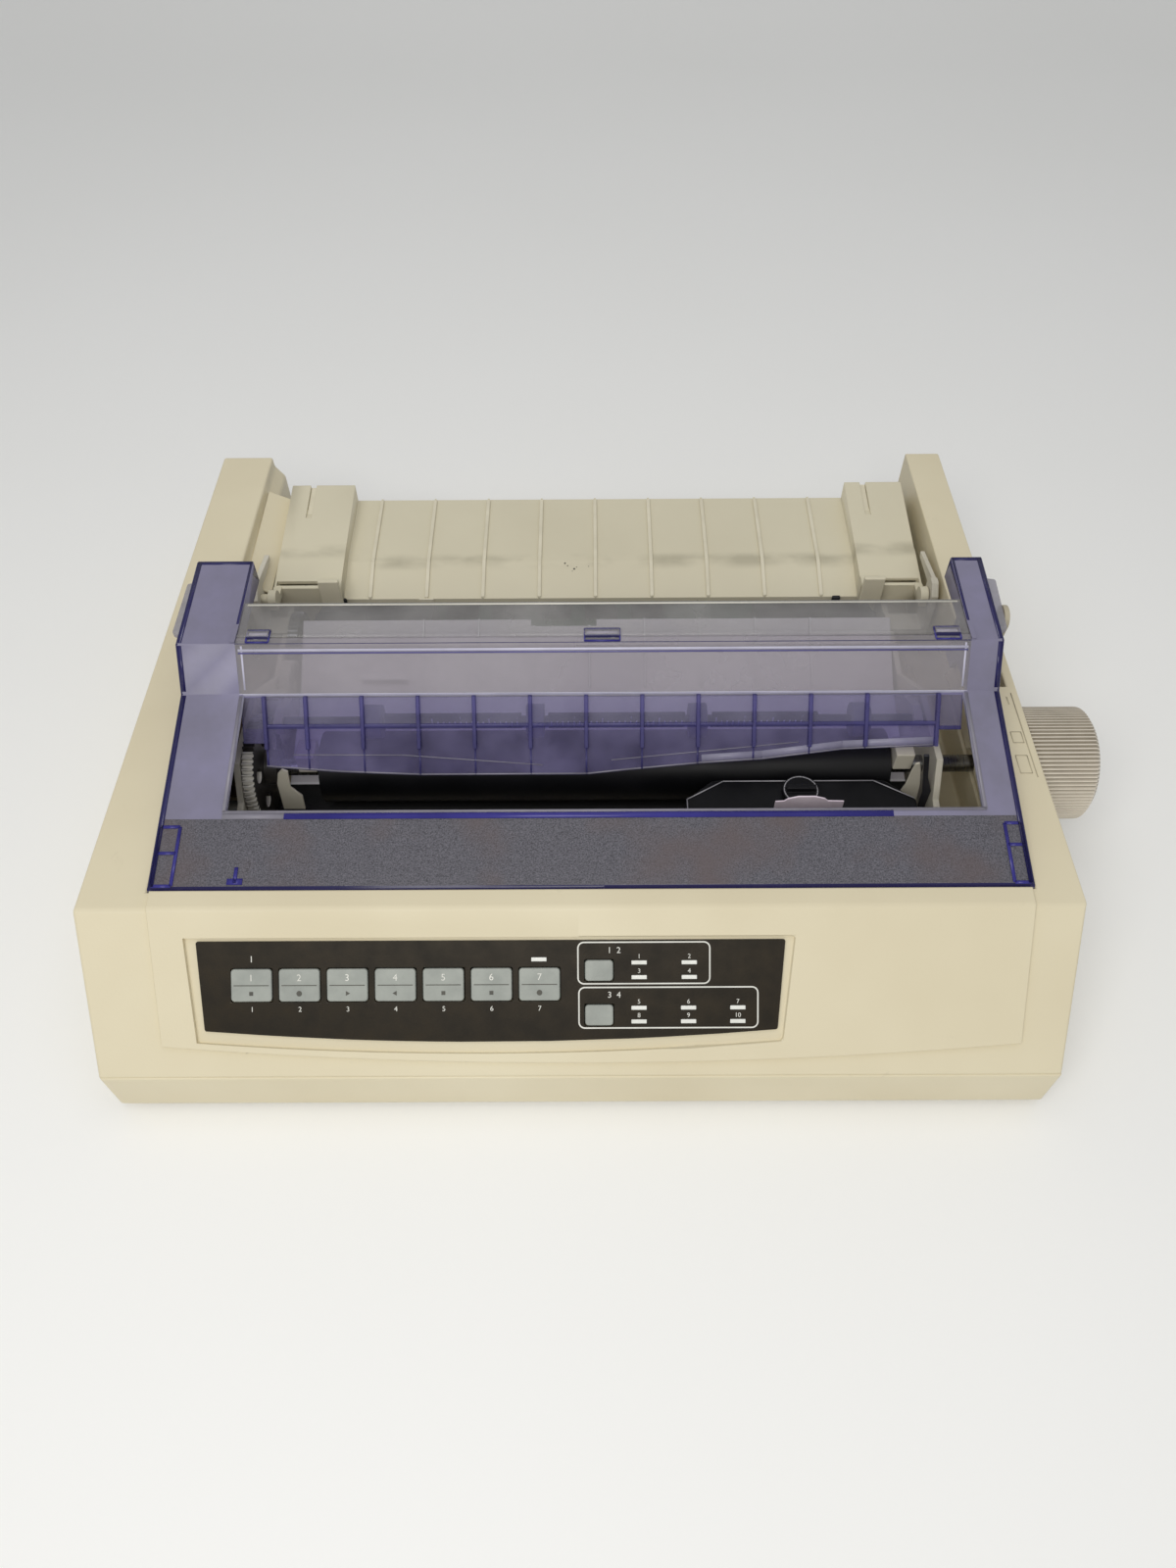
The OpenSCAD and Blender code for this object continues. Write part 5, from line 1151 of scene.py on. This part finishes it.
class PRINTER_OT_bail(bpy.types.Operator):
    """Paper bail: scale bar, arms and rollers"""
    bl_idname = "printer.bail"
    bl_label = "Paper bail"

    def execute(self, context):
        softened("bail_bar", "stoved_paint_black", 0.2)
        # Printed scale: ticks every tenth of an inch, none under a roller, with numerals
        bm = bmesh.new()
        face = 149.34
        for k in range(66):
            x = -66.0 + 2.54 * k
            tall = 72.8 if k % 10 == 0 else 70.8
            if min(abs(x - r) for r in (-92.5, -19.5, 53.5, 126.5)) > 6.5:
                strip_into(bm, (x, face, 67.0), (x, face, tall), 0.7, (0, -1, 0), 0.06)
            if k % 10 == 5:
                words_into(bm, str(k // 10 + 1), 2.6, Matrix.Translation(at(x, face, 73.2))
                           @ Matrix.Rotation(math.pi / 2, 4, "X"))
        piece("bail_scale", bm, "screen_print_ink_pale", "bail_bar")
        softened("bail_arms", "moulded_filled_polycarbonate")
        softened("bail_rollers", "moulded_rubber_grey")
        return {"FINISHED"}


class PRINTER_OT_frames(bpy.types.Operator):
    """Side frames and paper chute"""
    bl_idname = "printer.frames"
    bl_label = "Frames and chute"

    def execute(self, context):
        for side in ("left", "right"):
            softened(f"{side}_side_frame", "moulded_filled_polycarbonate")
        # The chute: its trough near black as painted shade, its ribs' flanks darker as painted
        # shade and their crowns lighter as painted highlights
        bm = merged("paper_chute", (("Y", 150.0),))
        for face in bm.faces:
            if middle(face).y < 150:
                face.material_index = 1
            elif abs(face.normal.x) > 0.7 and longest_edge(face) > 0.015:
                face.material_index = 2
            elif width_of(face) < 0.0018 and face.normal.z > 0.3:
                face.material_index = 3
        piece("paper_chute_soft", bm, "moulded_polystyrene_lilac_white flocked_lining_black"
              " polystyrene_dusty polystyrene_rubbed_white", "paper_chute", 0.3, instead=True)

        # Small fixed parts seen through the window: bearing blocks, release levers, arm
        bm = boxes(((140.8, 134.5, 53.5), (149.2, 146.0, 63.5)),
                   ((-127.0, 134.5, 53.5), (-118.6, 146.0, 63.5)))
        piece("platen_bearings", bm, "moulded_filled_polycarbonate", "left_side_frame", 0.6)
        bm = plates(128.3, 1.0,
                    ((-134.0, 60.5), (-136.1, 52.7), (-137.2, 34.2), (-127.2, 34.1),
                     (-126.5, 43.9), (-130.4, 50.5), (-129.2, 61.8), (-131.5, 63.5)),
                    ((147.0, 60.9), (147.7, 65.0), (149.4, 65.6), (150.9, 60.8),
                     (153.0, 50.2), (154.2, 36.2), (143.7, 36.3), (145.0, 44.5),
                     (146.4, 50.3)))
        piece("release_levers", bm, "moulded_filled_polycarbonate", "left_side_frame", 0.3)
        # Plate that closes the gap between the left tower and the separator
        bm = bmesh.new()
        strip_into(bm, (-164.4, 247.5, 61.5), (-164.4, 320.0, 64.0), 13.6,
                   (0.5, -0.03, 1.0), 1.2)
        piece("separator_side_plate", bm, "moulded_abs_aged_cream", "upper_case", 0.3)
        bm = plates(126.2, 1.4, ((149.0, 73.0), (151.4, 73.0), (154.4, 58.0), (158.0, 48.0),
                                 (158.0, 36.0), (154.8, 36.0), (154.6, 46.0), (152.4, 57.0)))
        piece("thickness_arm", bm, "moulded_nylon_black", "left_side_frame", 0.3)
        return {"FINISHED"}


class PRINTER_OT_carriage(bpy.types.Operator):
    """Carriage, print head, ribbon cartridge and belt drive"""
    bl_idname = "printer.carriage"
    bl_label = "Carriage"

    def execute(self, context):
        softened("ribbon_cartridge", "moulded_polystyrene_black", 0.6)
        softened("ribbon_knob", "moulded_polystyrene_black", 0.3)
        # Painted highlights along the edges of the cartridge's top
        bm = bmesh.new()
        top = 60.45
        for a, b in (((63, 122.9), (129, 122.9)), ((63, 122.9), (46.8, 113.2)),
                     ((129, 122.9), (145.2, 113.2)), ((46.6, 113.2), (46.6, 82.5))):
            strip_into(bm, (*a, top), (*b, top), 0.5, thick=0.14)
        piece("cartridge_rubbed_edges", bm, "moulded_polystyrene_rubbed", "ribbon_cartridge")
        # A ring of painted highlight on the ribbon knob
        corners = points_of("ribbon_knob")
        x, y = ((min(c[k] for c in corners) + max(c[k] for c in corners)) / 2 for k in (0, 1))
        z = above("ribbon_knob", x, y + 6.5)[2] + 0.05
        turns = [math.radians(11.25 * k) for k in range(33)]
        ring = [(x + 7.2 * math.cos(a), y + 7.2 * math.sin(a), z) for a in turns]
        bm = bmesh.new()
        for a, b in zip(ring, ring[1:]):
            strip_into(bm, a, b, 0.5)
        piece("knob_rubbed_ring", bm, "moulded_polystyrene_rubbed", "ribbon_knob")
        # Finger tab in front of the knob, with a plain pinkish paper label
        bm = plates(106.9, 0.7, ((83.5, 60.2), (112.8, 60.2), (112.8, 66.5), (105.9, 66.8),
                                 (104.4, 68.4), (100.0, 69.9), (93.0, 69.9), (88.6, 68.4),
                                 (87.2, 66.8), (83.5, 66.5)))
        piece("cartridge_label", bm, "label_paper_pinkish", "ribbon_cartridge", 0.2)
        softened("carriage", "die_cast_painted_black", 0.3)
        softened("print_head", "anodised_aluminium_black", 0.25)
        paint("carriage_belt", "neoprene_black")
        softened("spacing_motor", "zinc_plated_can")
        softened("line_feed_motor", "zinc_plated_can")
        return {"FINISHED"}


class PRINTER_OT_tractors(bpy.types.Operator):
    """Paper tractors, lids and pin wheels"""
    bl_idname = "printer.tractors"
    bl_label = "Tractors"

    def execute(self, context):
        for side in ("left", "right"):
            softened(f"tractor_{side}", "moulded_nylon_black", 0.5)
            softened(f"tractor_lid_{side}", "moulded_nylon_black")
            paint(f"pin_wheel_{side}", "moulded_nylon_black")
        return {"FINISHED"}


class PRINTER_OT_electrics(bpy.types.Operator):
    """Main board, sockets, switch and transformer"""
    bl_idname = "printer.electrics"
    bl_label = "Electrics"

    def execute(self, context):
        # Chips behind, a header in front of them, and tall capacitors in sleeves
        bm = merged("main_board")
        foot = min(case_mm(v.co).z for v in bm.verts)
        front = min(case_mm(v.co).y for v in bm.verts)
        for face in bm.faces:
            c = middle(face)
            if c.z > foot + 6.3:
                face.material_index = 4 if face.normal.z > 0.8 else 3
            elif c.z > foot + 1.8:
                face.material_index = 1 if c.y > front + 40 else 2
        piece("main_board_dressed", bm, "fr4_solder_resist moulded_epoxy_black"
              " moulded_nylon_natural pvc_sleeve_blue_black rolled_aluminium", "main_board",
              0.3, instead=True)
        # The legs of the chips: two rows of seven each, 2.54 mm apart
        x0 = min(c.x for c in points_of("main_board")) + 13.2
        legs = [(x0 + 26 * k + 2.54 * j, y) for k in range(5) for j in range(7)
                for y in (front + 70.6, front + 87.4)]
        bm = boxes(*(((x - 0.5, y - 0.8, foot + 1.55), (x + 0.5, y + 0.8, foot + 2.0))
                     for x, y in legs))
        piece("chip_legs", bm, "tinned_copper", "main_board")
        softened("interface_connector", "nickel_plated_shell", 0.3)
        softened("power_inlet", "moulded_polyamide_black", 0.3)
        softened("power_switch", "moulded_polyamide_black")
        softened("transformer", "varnished_laminations", 0.5)
        return {"FINISHED"}


class PRINTER_OT_lever(bpy.types.Operator):
    """Paper lever in the right strip"""
    bl_idname = "printer.lever"
    bl_label = "Paper lever"

    def execute(self, context):
        softened("paper_lever", "moulded_abs_lever")
        return {"FINISHED"}


STEPS = (PRINTER_OT_stage, PRINTER_OT_case, PRINTER_OT_panel, PRINTER_OT_cover,
         PRINTER_OT_separator, PRINTER_OT_platen, PRINTER_OT_bail, PRINTER_OT_frames,
         PRINTER_OT_carriage, PRINTER_OT_tractors, PRINTER_OT_electrics, PRINTER_OT_lever)


class PRINTER_PT_pieces(bpy.types.Panel):
    """Lists the pieces of the printer"""
    bl_idname = "PRINTER_PT_pieces"
    bl_label = "Dot Matrix Printer"
    bl_space_type = "VIEW_3D"
    bl_region_type = "UI"
    bl_category = "Printer"

    def draw(self, context):
        layout = self.layout
        for group in (context.scene.printer_colours, context.scene.printer_sizes):
            for name in group.__annotations__:
                layout.prop(group, name)
        for step in STEPS:
            layout.operator(step.bl_idname)


CLASSES = (PrinterColours, PrinterSizes, *STEPS, PRINTER_PT_pieces)


def register():
    for kind in CLASSES:
        bpy.utils.register_class(kind)
    bpy.types.Scene.printer_colours = bpy.props.PointerProperty(type=PrinterColours)
    bpy.types.Scene.printer_sizes = bpy.props.PointerProperty(type=PrinterSizes)


def unregister():
    del bpy.types.Scene.printer_sizes
    del bpy.types.Scene.printer_colours
    for kind in reversed(CLASSES):
        bpy.utils.unregister_class(kind)


def main():
    register()
    for step in STEPS:
        group, name = step.bl_idname.split(".")
        getattr(getattr(bpy.ops, group), name)()
    calm_rounds()


if __name__ == "__main__":
    main()
